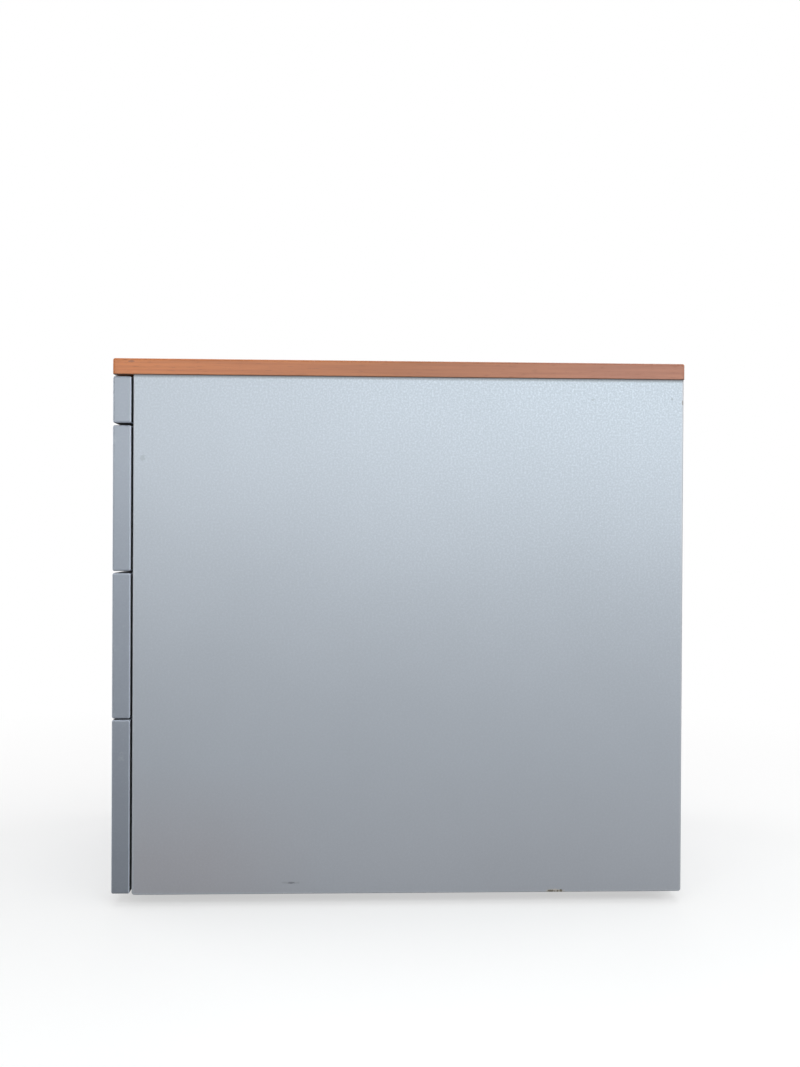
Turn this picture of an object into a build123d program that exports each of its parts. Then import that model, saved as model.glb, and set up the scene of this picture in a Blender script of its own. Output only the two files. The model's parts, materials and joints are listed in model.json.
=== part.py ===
from build123d import *
import math
import os

# A mobile drawer pedestal: a board carcass on four hidden twin-wheel castors, with a pencil drawer and three
# deeper drawers on ball-bearing rails, recessed pulls and a central lock.
# Millimetres. +Z is up, the drawer fronts face -Y, and the origin is on the floor under the middle.

# Overall sizes
TOP_WIDTH = 430.0
TOP_DEPTH = 600.0
TOTAL_HEIGHT = 571.0
FLOOR_GAP = 12.0                # from the floor to the lower edge of the side panels

# Boards
TOP_THICKNESS = 17.0
SIDE_THICKNESS = 16.0
BACK_THICKNESS = 16.0
BASE_THICKNESS = 16.0
FRONT_THICKNESS = 19.0
TOP_SIDE_OVERHANG = 1.0
TOP_REAR_OVERHANG = 0.8
TOP_EDGE_BAND = 3.0
TOP_ROUNDING = 2.2
TOP_LOWER_ROUNDING = 1.0
SIDE_EDGE_BAND = 2.0
BAND_JOINT = 0.1                # hairline between the ends of two bands that meet
SIDE_ROUNDING = 1.2
SIDE_CORNER = 3.0               # radius of a side panel's lower corners
FRONT_ROUNDING = 2.0
BASE_SETBACK = 2.0              # the base board stands back from the side panels' front edges

# Dowels that join the boards
DOWEL_RADIUS = 4.0
DOWEL_FACE_DEPTH = 10.0         # how far a dowel goes into the face of a board
DOWEL_EDGE_DEPTH = 18.0         # how far it goes into the edge of the other board
DOWEL_FIT = 0.1
DOWEL_PLACE_SHARES = (0.1, 0.5, 0.9)

# Drawer fronts and the gaps between them
GAP_BEHIND_FRONTS = 2.2
GAP_UNDER_TOP = 1.7
GAP_UNDER_PENCIL = 2.4
GAP_UNDER_UPPER = 2.0
GAP_UNDER_CENTRE = 1.2
FRONT_LIFT = 1.2                # the lowest front ends this far above the side panels' lower edge
PENCIL_FRONT_HEIGHT = 48.6
LOWER_FRONT_EXTRA = 29.8        # the lowest front is this much taller than the two above it

# Recessed pulls, flush with the fronts
PULL_WIDTH = 124.0
PULL_HEIGHT = 34.0
PULL_DEPTH = 12.5
PULL_CORNER = 5.0
PULL_RIM = 4.0                  # the rim stands out this far around the cup
PULL_RIM_THICKNESS = 1.6
PULL_WALL = 1.4
PULL_LIP = 6.5                  # the upper lip that the fingers hook behind
PULL_DROP = 40.0                # from a front's upper edge to the middle of its pull
PULL_FIT = 0.2

# Steel drawer trays
TRAY_SHEET = 1.2
TRAY_RIM = 8.0                  # inward fold along the upper edge
TRAY_DROP = 9.0                 # from a front's upper edge down to the tray's rim
TRAY_RISE = 32.0                # from a front's lower edge up to the tray's floor
TRAY_BASE_GAP = 6.0             # the lowest tray runs this far above the base board
TRAY_REAR_SPACE = 44.0          # free space between the trays and the back panel
PENCIL_TRAY_RISE = 1.0
PENCIL_TRAY_GAP = 0.8           # free height between the foot of the pencil tray's lug and the lock's driver

# Moulded insert of the pencil tray
PEN_INSERT_DEPTH = 300.0
PEN_INSERT_FLOOR = 1.8
PEN_INSERT_WALL = 4.0
PEN_INSERT_FIT = 0.4
PEN_INSERT_DROP = 1.0           # the insert ends this far under the tray's rim
PEN_WELL_CORNER = 5.0
PEN_ROW_SHARES = (0.2, 0.2, 0.6)
PEN_BACK_COLUMNS = 3

# Ball-bearing rails
RAIL_SPACE = 12.8               # between a side panel and a tray
RAIL_SETBACK = 3.0              # rails start behind the carcass's front edge
RAIL_REAR_SPACE = 59.0          # free space between the rails and the back panel
RAIL_HEIGHT = 45.0
RAIL_RISE = 4.0                 # from a tray's floor up to its rails
RAIL_SHEET = 1.2
RAIL_BALL_GAP = 3.2             # between the flanges that the balls run on
PENCIL_RAIL_SHEET = 1.0
PENCIL_RAIL_BALL_GAP = 2.8
PENCIL_RAIL_MARGIN = 1.0        # the pencil tray stands this far past its rails, above and below
RAIL_FLANGE_GAP = 2.0           # the cabinet rail's flanges end short of the drawer rail
RAIL_MEMBER_GAP = 1.0           # the middle rail's flanges end short of the drawer rail
CAGE_SPACE = 1.2                # between two rails' upright sheets, where a ball cage runs
CAGE_SHEET = 0.6
CAGE_LIP = 0.8                  # the cage's flanges reach this far past its balls
CAGE_END_GAP = 4.0
BALL_CLEARANCE = 0.12
BALL_PITCH = 42.0
DRAWER_TRAVEL = 480.0
PENCIL_TRAVEL = 350.0

# Screws that hold the cabinet rails
RAIL_SCREW_HEAD_RADIUS = 3.4
RAIL_SCREW_RADIUS = 2.4
RAIL_SCREW_BITE = 11.0          # how far a screw goes into the side panel
SCREW_FIT = 0.1
RAIL_SCREW_BAR_GAP = 1.7        # between the locking bar's groove and the screw heads behind it
RAIL_SCREW_END = 35.0           # from a rail's rear end to its last screw

# Central lock
LOCK_RADIUS = 7.5
LOCK_SIDE_GAP = 0.5
LOCK_DROP = 14.0                # from the underside of the top to the lock's axis
LOCK_RECESS = 0.4               # the lock's face lies this far inside the front's face
LOCK_DEPTH = 17.0               # how far the housing reaches behind the carcass's front edge
LOCK_HOLE_GAP = 0.6
LOCK_BRACKET_HEIGHT = 18.0
LOCK_BRACKET_SETBACK = 3.0
PLUG_RADIUS = 5.2
PLUG_CLEARANCE = 0.08
KEYWAY_WIDTH = 1.6
KEYWAY_HEIGHT = 7.0
KEYWAY_DEPTH = 10.0
CAM_RADIUS = 7.4
CAM_THICKNESS = 2.5
CAM_GAP = 0.4
CAM_THROW = 5.0                 # from the lock's axis to the driving pin
CAM_PIN_RADIUS = 2.2
CAM_PIN_OVERREACH = 1.0
CAM_START_ANGLE = 135.0         # of the driving pin when unlocked, from +X towards +Z
CAM_END_ANGLE = 225.0           # when locked

# Locking bar, in a groove of the right-hand side panel
BAR_THICKNESS = 2.5
BAR_WIDTH = 12.0
BAR_INSET = 0.4
BAR_CLEARANCE = 0.4
BAR_FOOT = 6.0                  # the bar reaches this far under its lowest tab
GROOVE_DEPTH = 4.0
DRIVER_GAP = 0.6
DRIVER_WALL = 4.0
SLOT_CLEARANCE = 0.35
LUG_REACH = 6.0
LUG_LENGTH = 6.0
LUG_HEIGHT = 8.0
LUG_GAP = 1.5                   # between a lug and the tab that blocks it
LUG_RISE = 6.0                  # from the top of a rail up to its drawer's lug
TAB_GAP = 1.2                   # a tab clears its lug by this when unlocked
TAB_HEIGHT = 9.0
TAB_TRAY_GAP = 1.5
PENCIL_LUG_WIDTH = 6.0
PENCIL_LUG_GAP = 1.0            # between the pencil tray's lug and the lock's driver, sideways
GUIDE_THICKNESS = 1.5
GUIDE_WIDTH = 30.0
GUIDE_HEIGHT = 12.0
GUIDE_DROP = 14.0               # from a tray's floor down to the middle of a guide

# Twin-wheel castors under the base board
CASTOR_HEIGHT = 53.0
CASTOR_SIDE_INSET = 45.0
CASTOR_FRONT_INSET = 60.0
CASTOR_REAR_INSET = 55.0
CASTOR_TRAIL = 16.0             # from the swivel axis back to the wheels' axis
PLATE_SIZE = 40.0
PLATE_THICKNESS = 2.5
PLATE_CORNER = 4.0
KINGPIN_RADIUS = 4.0
KINGPIN_LENGTH = 11.0
KINGPIN_CLEARANCE = 0.06
KINGPIN_END_GAP = 0.6
BOSS_RADIUS = 8.0
BOSS_GAP = 0.7                  # between the turning hood and the fixed plate
BOSS_LENGTH = 20.0
WHEEL_RADIUS = 20.0
WHEEL_WIDTH = 9.0
WHEEL_ROUNDING = 2.0
WHEEL_SIDE_GAP = 0.5
WHEEL_CLEARANCE = 0.06
WHEEL_DISH_DEPTH = 1.5
WHEEL_HUB_RADIUS = 7.0
WHEEL_RIM_RADIUS = 15.5
HOOD_WEB = 5.0                  # upright web between the two wheels
HOOD_GAP = 1.0                  # between the wheels and the hood
HOOD_SHEET = 3.0
HOOD_OVERHANG = 0.6             # the hood reaches this far past the wheels' outer faces
HOOD_SKIRT = 4.0                # the web reaches this far under the axle
AXLE_RADIUS = 3.0
AXLE_END_GAP = 0.8
CASTOR_SCREW_INSET = 6.0        # from the plate's edge to a screw
CASTOR_SCREW_RADIUS = 1.9
CASTOR_SCREW_HEAD_RADIUS = 3.5
CASTOR_SCREW_HEAD_HEIGHT = 1.8
CASTOR_SCREW_BITE = 11.0

OVERRUN = 1.0                   # cuts run this far past the faces that they open
QUARTER_TURN = 90.0             # degrees
HALF_TURN = 180.0
MIRROR = Plane.YZ               # the pedestal's left half mirrors its right half

# Planes that several pieces share
FRONT_FACE = -TOP_DEPTH / 2
REAR_FACE = TOP_DEPTH / 2 - TOP_REAR_OVERHANG
TOP_UNDERSIDE = TOTAL_HEIGHT - TOP_THICKNESS
SIDE_OUTER = TOP_WIDTH / 2 - TOP_SIDE_OVERHANG
SIDE_INNER = SIDE_OUTER - SIDE_THICKNESS
FRONT_BACK = FRONT_FACE + FRONT_THICKNESS
CARCASS_FRONT = FRONT_BACK + GAP_BEHIND_FRONTS
BACK_INNER = REAR_FACE - BACK_THICKNESS
BASE_TOP = CASTOR_HEIGHT + BASE_THICKNESS
BASE_FRONT = CARCASS_FRONT + BASE_SETBACK
TRAY_OUTER = SIDE_INNER - RAIL_SPACE
TRAY_REAR = BACK_INNER - TRAY_REAR_SPACE
RAIL_FRONT = CARCASS_FRONT + RAIL_SETBACK
RAIL_REAR = BACK_INNER - RAIL_REAR_SPACE

# The lock's axis, its driving pin and the bar that it moves
LOCK_X = SIDE_INNER - LOCK_SIDE_GAP - LOCK_RADIUS
LOCK_Z = TOP_UNDERSIDE - LOCK_DROP
LOCK_REAR = CARCASS_FRONT + LOCK_DEPTH
CAM_FRONT = LOCK_REAR + CAM_GAP
CAM_REAR = CAM_FRONT + CAM_THICKNESS
PIN_X = LOCK_X + CAM_THROW * math.cos(math.radians(CAM_START_ANGLE))
PIN_Z = LOCK_Z + CAM_THROW * math.sin(math.radians(CAM_START_ANGLE))
LOCK_STROKE = PIN_Z - LOCK_Z - CAM_THROW * math.sin(math.radians(CAM_END_ANGLE))
DRIVER_HALF_HEIGHT = CAM_PIN_RADIUS + SLOT_CLEARANCE + DRIVER_WALL
DRIVER_INNER = LOCK_X - CAM_THROW - CAM_PIN_RADIUS - SLOT_CLEARANCE - DRIVER_WALL
BAR_FRONT = CAM_REAR + DRIVER_GAP
BAR_REAR = BAR_FRONT + BAR_WIDTH
BAR_X = (SIDE_INNER + BAR_INSET, SIDE_INNER + BAR_INSET + BAR_THICKNESS)

# The places of the castors' swivel axes
CASTOR_X = SIDE_INNER - CASTOR_SIDE_INSET
CASTOR_PLACES = {
    "front_left": (-CASTOR_X, CARCASS_FRONT + CASTOR_FRONT_INSET),
    "front_right": (CASTOR_X, CARCASS_FRONT + CASTOR_FRONT_INSET),
    "rear_left": (-CASTOR_X, BACK_INNER - CASTOR_REAR_INSET),
    "rear_right": (CASTOR_X, BACK_INNER - CASTOR_REAR_INSET),
}


DEEP_DRAWERS = ("upper", "centre", "lower")


def fronts_from_the_top():
    """The (low, high) heights of each drawer's front: the deep ones share what the pencil drawer leaves."""
    pencil_top = TOP_UNDERSIDE - GAP_UNDER_TOP
    pencil_bottom = pencil_top - PENCIL_FRONT_HEIGHT
    lower_bottom = FLOOR_GAP + FRONT_LIFT
    gaps = GAP_UNDER_PENCIL + GAP_UNDER_UPPER + GAP_UNDER_CENTRE
    deep_front = (pencil_bottom - lower_bottom - gaps - LOWER_FRONT_EXTRA) / len(DEEP_DRAWERS)
    upper_top = pencil_bottom - GAP_UNDER_PENCIL
    upper_bottom = upper_top - deep_front
    centre_top = upper_bottom - GAP_UNDER_UPPER
    centre_bottom = centre_top - deep_front
    lower_top = centre_bottom - GAP_UNDER_CENTRE
    return {
        "pencil": (pencil_bottom, pencil_top),
        "upper": (upper_bottom, upper_top),
        "centre": (centre_bottom, centre_top),
        "lower": (lower_bottom, lower_top),
    }


FRONTS = fronts_from_the_top()
DRIVER_LOWEST = PIN_Z - LOCK_STROKE - DRIVER_HALF_HEIGHT
TRAYS = {
    "pencil": (FRONTS["pencil"][0] + PENCIL_TRAY_RISE, DRIVER_LOWEST - PENCIL_TRAY_GAP - TRAY_SHEET),
    "upper": (FRONTS["upper"][0] + TRAY_RISE, FRONTS["upper"][1] - TRAY_DROP),
    "centre": (FRONTS["centre"][0] + TRAY_RISE, FRONTS["centre"][1] - TRAY_DROP),
    "lower": (BASE_TOP + TRAY_BASE_GAP, FRONTS["lower"][1] - TRAY_DROP),
}
RAILS = {name: (low + RAIL_RISE, low + RAIL_RISE + RAIL_HEIGHT) for name, (low, high) in TRAYS.items()}
RAILS["pencil"] = (TRAYS["pencil"][0] + PENCIL_RAIL_MARGIN, TRAYS["pencil"][1] - PENCIL_RAIL_MARGIN)
LUG_BOTTOMS = {name: high + LUG_RISE for name, (low, high) in RAILS.items()}
LUG_BOTTOMS["pencil"] = TRAYS["pencil"][1]


# Basic shapes
def around(middle, size):
    """The (low, high) range of a size about its middle."""
    return (middle - size / 2, middle + size / 2)


def centre(limits):
    """The middle of a (low, high) range."""
    return (limits[0] + limits[1]) / 2


def grown(limits, margin):
    """A range with a margin added at both ends."""
    return (limits[0] - margin, limits[1] + margin)


def places_along(limits, shares):
    """The places at the given shares of a range."""
    return [limits[0] + share * (limits[1] - limits[0]) for share in shares]


def block(x, y, z):
    """A box that fills three (low, high) ranges."""
    sizes = [high - low for low, high in (x, y, z)]
    return Pos(centre(x), centre(y), centre(z)) * Box(*sizes)


def rod(radius, x, y, z):
    """A round bar along whichever of x, y and z is given as a (low, high) range."""
    places = [x, y, z]
    axis = next(i for i, place in enumerate(places) if isinstance(place, tuple))
    low, high = places[axis]
    places[axis] = centre((low, high))
    turn = (Rot(0, QUARTER_TURN, 0), Rot(QUARTER_TURN, 0, 0), Rot(0, 0, 0))[axis]
    return Pos(*places) * turn * Cylinder(radius, high - low)


def rounded_block(x, y, z, radius, axis):
    """A box with the four edges along one axis rounded."""
    solid = block(x, y, z)
    return fillet(solid.edges().filter_by(axis), radius)


def joined(shapes):
    """One shape from several that touch or overlap."""
    first, *rest = shapes
    for shape in rest:
        first = first + shape
    return first


def cut(shape, tools):
    """A shape with every tool taken out of it."""
    for tool in tools:
        shape = shape - tool
    return shape


def pair(shape):
    """A right-hand piece and its mirror image on the left."""
    return [shape, shape.mirror(MIRROR)]


def turned_pairs(shapes):
    """Right-hand pieces of a rail, alike at both of its ends, and the same pieces turned to the left."""
    turn = Pos(0, 2 * centre((RAIL_FRONT, RAIL_REAR)), 0) * Rot(0, 0, HALF_TURN)
    return [*shapes, *[turn * shape for shape in shapes]]


def from_side(near, far):
    """The X range between two distances inwards from the right-hand side panel."""
    return (SIDE_INNER - far, SIDE_INNER - near)


def save(name, *shapes):
    """Writes one named sub-part, which may be a group of separate solids."""
    solids = [solid for shape in shapes for solid in shape.solids()]
    whole = solids[0] if len(solids) == 1 else Compound(children=solids)
    export_step(whole, os.path.join("parts", name + ".step"))
    print(name, len(solids), "solids", round(sum(solid.volume for solid in solids)), "mm3")


# Dowels: each is (x, y, z) with one range, from the edge of one board into the face of another
def dowel_lines():
    """Where the dowels run, as the places and ranges that rod() takes."""
    base_depth = (BASE_FRONT, BACK_INNER)
    side_depth = (CARCASS_FRONT, BACK_INNER)
    back_height = (BASE_TOP, TOP_UNDERSIDE)
    inwards = (SIDE_INNER - DOWEL_EDGE_DEPTH, SIDE_INNER + DOWEL_FACE_DEPTH)
    upwards = (TOP_UNDERSIDE - DOWEL_EDGE_DEPTH, TOP_UNDERSIDE + DOWEL_FACE_DEPTH)
    backwards = (BACK_INNER - DOWEL_EDGE_DEPTH, BACK_INNER + DOWEL_FACE_DEPTH)
    side_middle = centre((SIDE_INNER, SIDE_OUTER))
    back_middle = centre((BACK_INNER, REAR_FACE))
    base_middle = centre((CASTOR_HEIGHT, BASE_TOP))
    lines = []
    for y in places_along(base_depth, DOWEL_PLACE_SHARES):
        lines.append((inwards, y, base_middle))
    for z in places_along(back_height, DOWEL_PLACE_SHARES):
        lines.append((inwards, back_middle, z))
    for y in places_along(side_depth, DOWEL_PLACE_SHARES):
        lines.append((side_middle, y, upwards))
    for x in places_along((-SIDE_INNER, SIDE_INNER), DOWEL_PLACE_SHARES):
        lines.append((x, back_middle, upwards))
        lines.append((x, backwards, base_middle))
    return lines


def is_paired(line):
    """True for a dowel of the side panels, which has a twin on the left."""
    x = line[0]
    return isinstance(x, tuple) or x > SIDE_INNER


def make_dowels():
    """Every dowel, on both sides."""
    dowels = []
    for line in dowel_lines():
        dowel = rod(DOWEL_RADIUS, *line)
        dowels += pair(dowel) if is_paired(line) else [dowel]
    return dowels


def dowel_holes():
    """The drilled holes that every board shares."""
    holes = []
    for line in dowel_lines():
        hole = rod(DOWEL_RADIUS + DOWEL_FIT, *line)
        holes += pair(hole) if is_paired(line) else [hole]
    return holes


def drilled(board, holes):
    """A board with the holes that reach it."""
    limits = board.bounding_box()
    near = []
    for hole in holes:
        box = hole.bounding_box()
        apart = (
            box.min.X > limits.max.X or box.max.X < limits.min.X
            or box.min.Y > limits.max.Y or box.max.Y < limits.min.Y
            or box.min.Z > limits.max.Z or box.max.Z < limits.min.Z
        )
        if not apart:
            near.append(hole)
    return cut(board, near)


# Carcass boards
def make_top(holes):
    """The beech-faced top board and the four strips of edge band around it."""
    outer_x = around(0, TOP_WIDTH)
    outer_y = around(0, TOP_DEPTH)
    height = (TOP_UNDERSIDE, TOTAL_HEIGHT)
    whole = block(outer_x, outer_y, height)
    _, upright, above = whole.edges().group_by(Axis.Z)
    whole = fillet(upright + above, TOP_ROUNDING)
    whole = fillet(whole.edges().group_by(Axis.Z)[0], TOP_LOWER_ROUNDING)
    inner_x = grown(outer_x, -TOP_EDGE_BAND)
    inner_y = grown(outer_y, -TOP_EDGE_BAND)
    front = block(outer_x, (outer_y[0], inner_y[0]), height)
    rear = block(outer_x, (inner_y[1], outer_y[1]), height)
    right = block((inner_x[1], outer_x[1]), grown(inner_y, -BAND_JOINT), height)
    zones = [front, rear, *pair(right)]
    strips = [whole & zone for zone in zones]
    board = block(inner_x, inner_y, height)
    return drilled(board, holes), strips


def make_side(holes):
    """The right-hand side panel without its groove, and the edge bands of its front, rear and foot."""
    x = (SIDE_INNER, SIDE_OUTER)
    y = (CARCASS_FRONT, REAR_FACE)
    z = (FLOOR_GAP, TOP_UNDERSIDE)
    whole = block(x, y, z)
    whole = fillet(whole.edges().filter_by(Axis.X).group_by(Axis.Z)[0], SIDE_CORNER)
    outlines = whole.edges().filter_by(Axis.X, reverse=True)
    outer_edges = [edge for edge in outlines if edge.center().Z < TOP_UNDERSIDE - SIDE_ROUNDING]
    whole = fillet(outer_edges, SIDE_ROUNDING)
    core_y = grown(y, -SIDE_EDGE_BAND)
    core_z = (FLOOR_GAP + SIDE_EDGE_BAND, TOP_UNDERSIDE)
    zones = [
        block(x, (y[0], core_y[0]), z),
        block(x, (core_y[1], y[1]), z),
        block(x, grown(core_y, -BAND_JOINT), (z[0], core_z[0])),
    ]
    strips = [whole & zone for zone in zones]
    board = block(x, core_y, core_z)
    return drilled(board, holes), strips


def make_back(holes):
    """The back panel between the two sides."""
    board = block((-SIDE_INNER, SIDE_INNER), (BACK_INNER, REAR_FACE), (FLOOR_GAP, TOP_UNDERSIDE))
    return drilled(board, holes)


def make_base(holes):
    """The base board that carries the castors."""
    board = block((-SIDE_INNER, SIDE_INNER), (BASE_FRONT, BACK_INNER), (CASTOR_HEIGHT, BASE_TOP))
    return drilled(board, holes)


# Recessed pulls
def pull_height(name):
    """The height of the middle of a drawer's pull."""
    low, high = FRONTS[name]
    return centre((low, high)) if name == "pencil" else high - PULL_DROP


def pull_ranges(name):
    """The X and Z ranges of a pull's rim and of the cup behind it."""
    rim_x = around(0, PULL_WIDTH)
    rim_z = around(pull_height(name), PULL_HEIGHT)
    return rim_x, rim_z, grown(rim_x, -PULL_RIM), grown(rim_z, -PULL_RIM)


def make_pull(name):
    """A flush cup pull: a rim plate, a cup behind it and a lip across the cup's upper part."""
    rim_x, rim_z, cup_x, cup_z = pull_ranges(name)
    rim_back = FRONT_FACE + PULL_RIM_THICKNESS
    cup_back = FRONT_FACE + PULL_DEPTH
    rim = rounded_block(rim_x, (FRONT_FACE, rim_back), rim_z, PULL_CORNER, Axis.Y)
    cup = rounded_block(cup_x, (FRONT_FACE, cup_back), cup_z, PULL_CORNER, Axis.Y)
    hollow_x = grown(cup_x, -PULL_WALL)
    hollow_z = grown(cup_z, -PULL_WALL)
    hollow_corner = PULL_CORNER - PULL_WALL
    hollow = rounded_block(hollow_x, (rim_back, cup_back - PULL_WALL), hollow_z, hollow_corner, Axis.Y)
    mouth_z = (hollow_z[0], hollow_z[1] - PULL_LIP)
    mouth = rounded_block(hollow_x, (FRONT_FACE - OVERRUN, rim_back), mouth_z, hollow_corner, Axis.Y)
    return rim + cup - hollow - mouth


def make_pull_seat(name):
    """What a front loses so that its pull sits flush."""
    rim_x, rim_z, cup_x, cup_z = pull_ranges(name)
    rim_y = (FRONT_FACE - OVERRUN, FRONT_FACE + PULL_RIM_THICKNESS)
    cup_y = (FRONT_FACE - OVERRUN, FRONT_FACE + PULL_DEPTH)
    corner = PULL_CORNER + PULL_FIT
    rim = rounded_block(grown(rim_x, PULL_FIT), rim_y, grown(rim_z, PULL_FIT), corner, Axis.Y)
    cup = rounded_block(grown(cup_x, PULL_FIT), cup_y, grown(cup_z, PULL_FIT), corner, Axis.Y)
    return rim + cup


# Drawers
def make_front(name):
    """A drawer front with rounded edges and the seat of its pull."""
    front = block((-SIDE_OUTER, SIDE_OUTER), (FRONT_FACE, FRONT_BACK), FRONTS[name])
    front = fillet(front.edges(), FRONT_ROUNDING)
    front = front - make_pull_seat(name)
    if name == "pencil":
        through = grown((FRONT_FACE, FRONT_BACK), OVERRUN)
        front = front - rod(LOCK_RADIUS + LOCK_HOLE_GAP, LOCK_X, through, LOCK_Z)
    return front


def make_tray(name):
    """A welded steel tray: a floor, four walls with inward rims, and the lug that the locking bar blocks."""
    x = around(0, 2 * TRAY_OUTER)
    y = (FRONT_BACK, TRAY_REAR)
    low, high = TRAYS[name]
    inside_x = grown(x, -TRAY_SHEET)
    inside_y = grown(y, -TRAY_SHEET)
    mouth_x = grown(x, -TRAY_RIM)
    wall_z = (low, high - TRAY_SHEET)
    rim_z = (high - TRAY_SHEET, high)
    floor = block(inside_x, inside_y, (low, low + TRAY_SHEET))
    side = block((inside_x[1], x[1]), y, wall_z) + block((mouth_x[1], x[1]), y, rim_z)
    front = block(inside_x, (y[0], inside_y[0]), wall_z) + block(mouth_x, (y[0], y[0] + TRAY_RIM), rim_z)
    rear = block(inside_x, (inside_y[1], y[1]), wall_z) + block(mouth_x, (y[1] - TRAY_RIM, y[1]), rim_z)
    return [floor, *pair(side), front, rear, make_lug(name)]


def lug_limits(name):
    """The X, Y and Z ranges of a drawer's lug."""
    y = (BAR_REAR + LUG_GAP, BAR_REAR + LUG_GAP + LUG_LENGTH)
    z = (LUG_BOTTOMS[name], LUG_BOTTOMS[name] + LUG_HEIGHT)
    if name == "pencil":
        outer = DRIVER_INNER - PENCIL_LUG_GAP
        return (outer - PENCIL_LUG_WIDTH, outer), y, z
    return (TRAY_OUTER, TRAY_OUTER + LUG_REACH), y, z


def make_lug(name):
    """The lug that keeps a drawer shut when the bar is down. The pencil drawer's stands on the tray's rim."""
    x, y, z = lug_limits(name)
    lug = block(x, y, z)
    if name == "pencil":
        lug = lug + block((x[0], TRAY_OUTER - TRAY_SHEET), y, (z[0], z[0] + TRAY_SHEET))
    return lug


def pen_wells():
    """The X and Y ranges of the insert's wells: two long pen grooves, then a row of boxes."""
    inner_x = grown(around(0, 2 * TRAY_OUTER), -TRAY_SHEET - PEN_INSERT_FIT - PEN_INSERT_WALL)
    front = FRONT_BACK + TRAY_SHEET + PEN_INSERT_FIT
    walls = PEN_INSERT_WALL * (len(PEN_ROW_SHARES) + 1)
    free = PEN_INSERT_DEPTH - walls
    wells = []
    y = front + PEN_INSERT_WALL
    for row, share in enumerate(PEN_ROW_SHARES):
        columns = PEN_BACK_COLUMNS if row == len(PEN_ROW_SHARES) - 1 else 1
        width = (inner_x[1] - inner_x[0] - PEN_INSERT_WALL * (columns - 1)) / columns
        for column in range(columns):
            x = inner_x[0] + column * (width + PEN_INSERT_WALL)
            wells.append(((x, x + width), (y, y + share * free)))
        y += share * free + PEN_INSERT_WALL
    return wells


def pen_insert_height():
    """The (low, high) heights of the moulded insert."""
    low, high = TRAYS["pencil"]
    return (low + TRAY_SHEET, high - TRAY_SHEET - PEN_INSERT_DROP)


def make_pen_insert():
    """The moulded insert of the pencil tray."""
    x = grown(around(0, 2 * TRAY_OUTER), -TRAY_SHEET - PEN_INSERT_FIT)
    front = FRONT_BACK + TRAY_SHEET + PEN_INSERT_FIT
    low, high = pen_insert_height()
    insert = rounded_block(x, (front, front + PEN_INSERT_DEPTH), (low, high), PEN_WELL_CORNER, Axis.Z)
    for well_x, well_y in pen_wells():
        well_z = (low + PEN_INSERT_FLOOR, high + OVERRUN)
        well = rounded_block(well_x, well_y, well_z, PEN_WELL_CORNER, Axis.Z)
        floor_edges = well.faces().sort_by(Axis.Z)[0].edges()
        insert = insert - fillet(floor_edges, PEN_INSERT_WALL)
    return insert


# Ball-bearing rails, drawn for the right-hand side
def channel(z, sheet, web, reach):
    """A C-shaped rail with its upright sheet and its two flanges, measured inwards from the side panel."""
    y = (RAIL_FRONT, RAIL_REAR)
    upright = block(from_side(*web), y, z)
    upper = block(from_side(*reach), y, (z[1] - sheet, z[1]))
    lower = block(from_side(*reach), y, (z[0], z[0] + sheet))
    return upright + upper + lower


def nested(z, sheet, ball_gap):
    """The height range of a rail that runs on balls inside the flanges of another."""
    return grown(z, -sheet - ball_gap)


def ball_cage(z, sheet, ball_gap, web_middle, ball_middle, y):
    """A thin cage inside a rail of height range z, with two rows of round pockets and the balls in them."""
    race = grown(z, -sheet - ball_gap / 2)
    web_near, web_far = around(web_middle, CAGE_SHEET)
    cage = block(from_side(web_near, web_far), y, race)
    radius = ball_gap / 2 - BALL_CLEARANCE
    count = int((y[1] - y[0] - ball_gap) // BALL_PITCH)
    first = centre(y) - BALL_PITCH * count / 2
    pockets = []
    balls = []
    for height in race:
        flange = around(height, CAGE_SHEET)
        cage = cage + block(from_side(web_near, ball_middle + radius + CAGE_LIP), y, flange)
        for number in range(count + 1):
            place = (SIDE_INNER - ball_middle, first + number * BALL_PITCH)
            pockets.append(rod(radius + BALL_CLEARANCE, *place, grown(flange, OVERRUN)))
            balls.append(Pos(*place, height) * Sphere(radius))
    return [cut(cage, pockets), *balls]


def cage_span(moved):
    """Where a cage lies so that it stays between the rails while they move that far past each other."""
    return grown((RAIL_FRONT, RAIL_REAR), -moved / 2 - CAGE_END_GAP)


def screw_places():
    """Where the cabinet rails are screwed on: behind the locking bar, halfway and at the rear."""
    front = BAR_REAR + BAR_CLEARANCE + RAIL_SCREW_BAR_GAP + RAIL_SCREW_HEAD_RADIUS
    rear = RAIL_REAR - RAIL_SCREW_END
    return [front, centre((front, rear)), rear]


def make_cabinet_rail(name, sheet):
    """The rail on the side panel, with its screw holes."""
    flange_end = RAIL_SPACE - sheet - RAIL_FLANGE_GAP
    rail = channel(RAILS[name], sheet, (0, sheet), (0, flange_end))
    hole_x = grown(from_side(0, sheet), OVERRUN)
    radius = RAIL_SCREW_HEAD_RADIUS + SCREW_FIT
    holes = [rod(radius, hole_x, y, centre(RAILS[name])) for y in screw_places()]
    return cut(rail, holes)


def make_rail_screws(name, sheet):
    """The screws of one rail, with flat heads that lie inside its sheet."""
    screws = []
    for y in screw_places():
        z = centre(RAILS[name])
        head = rod(RAIL_SCREW_HEAD_RADIUS, from_side(0, sheet), y, z)
        shank = rod(RAIL_SCREW_RADIUS, (SIDE_INNER, SIDE_INNER + RAIL_SCREW_BITE), y, z)
        screws.append(head + shank)
    return screws


def rail_screw_holes():
    """The pilot holes for the rail screws in the right-hand side panel."""
    depth = (SIDE_INNER - OVERRUN, SIDE_INNER + RAIL_SCREW_BITE + SCREW_FIT)
    radius = RAIL_SCREW_RADIUS + SCREW_FIT
    return [rod(radius, depth, y, centre(rail)) for rail in RAILS.values() for y in screw_places()]


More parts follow.
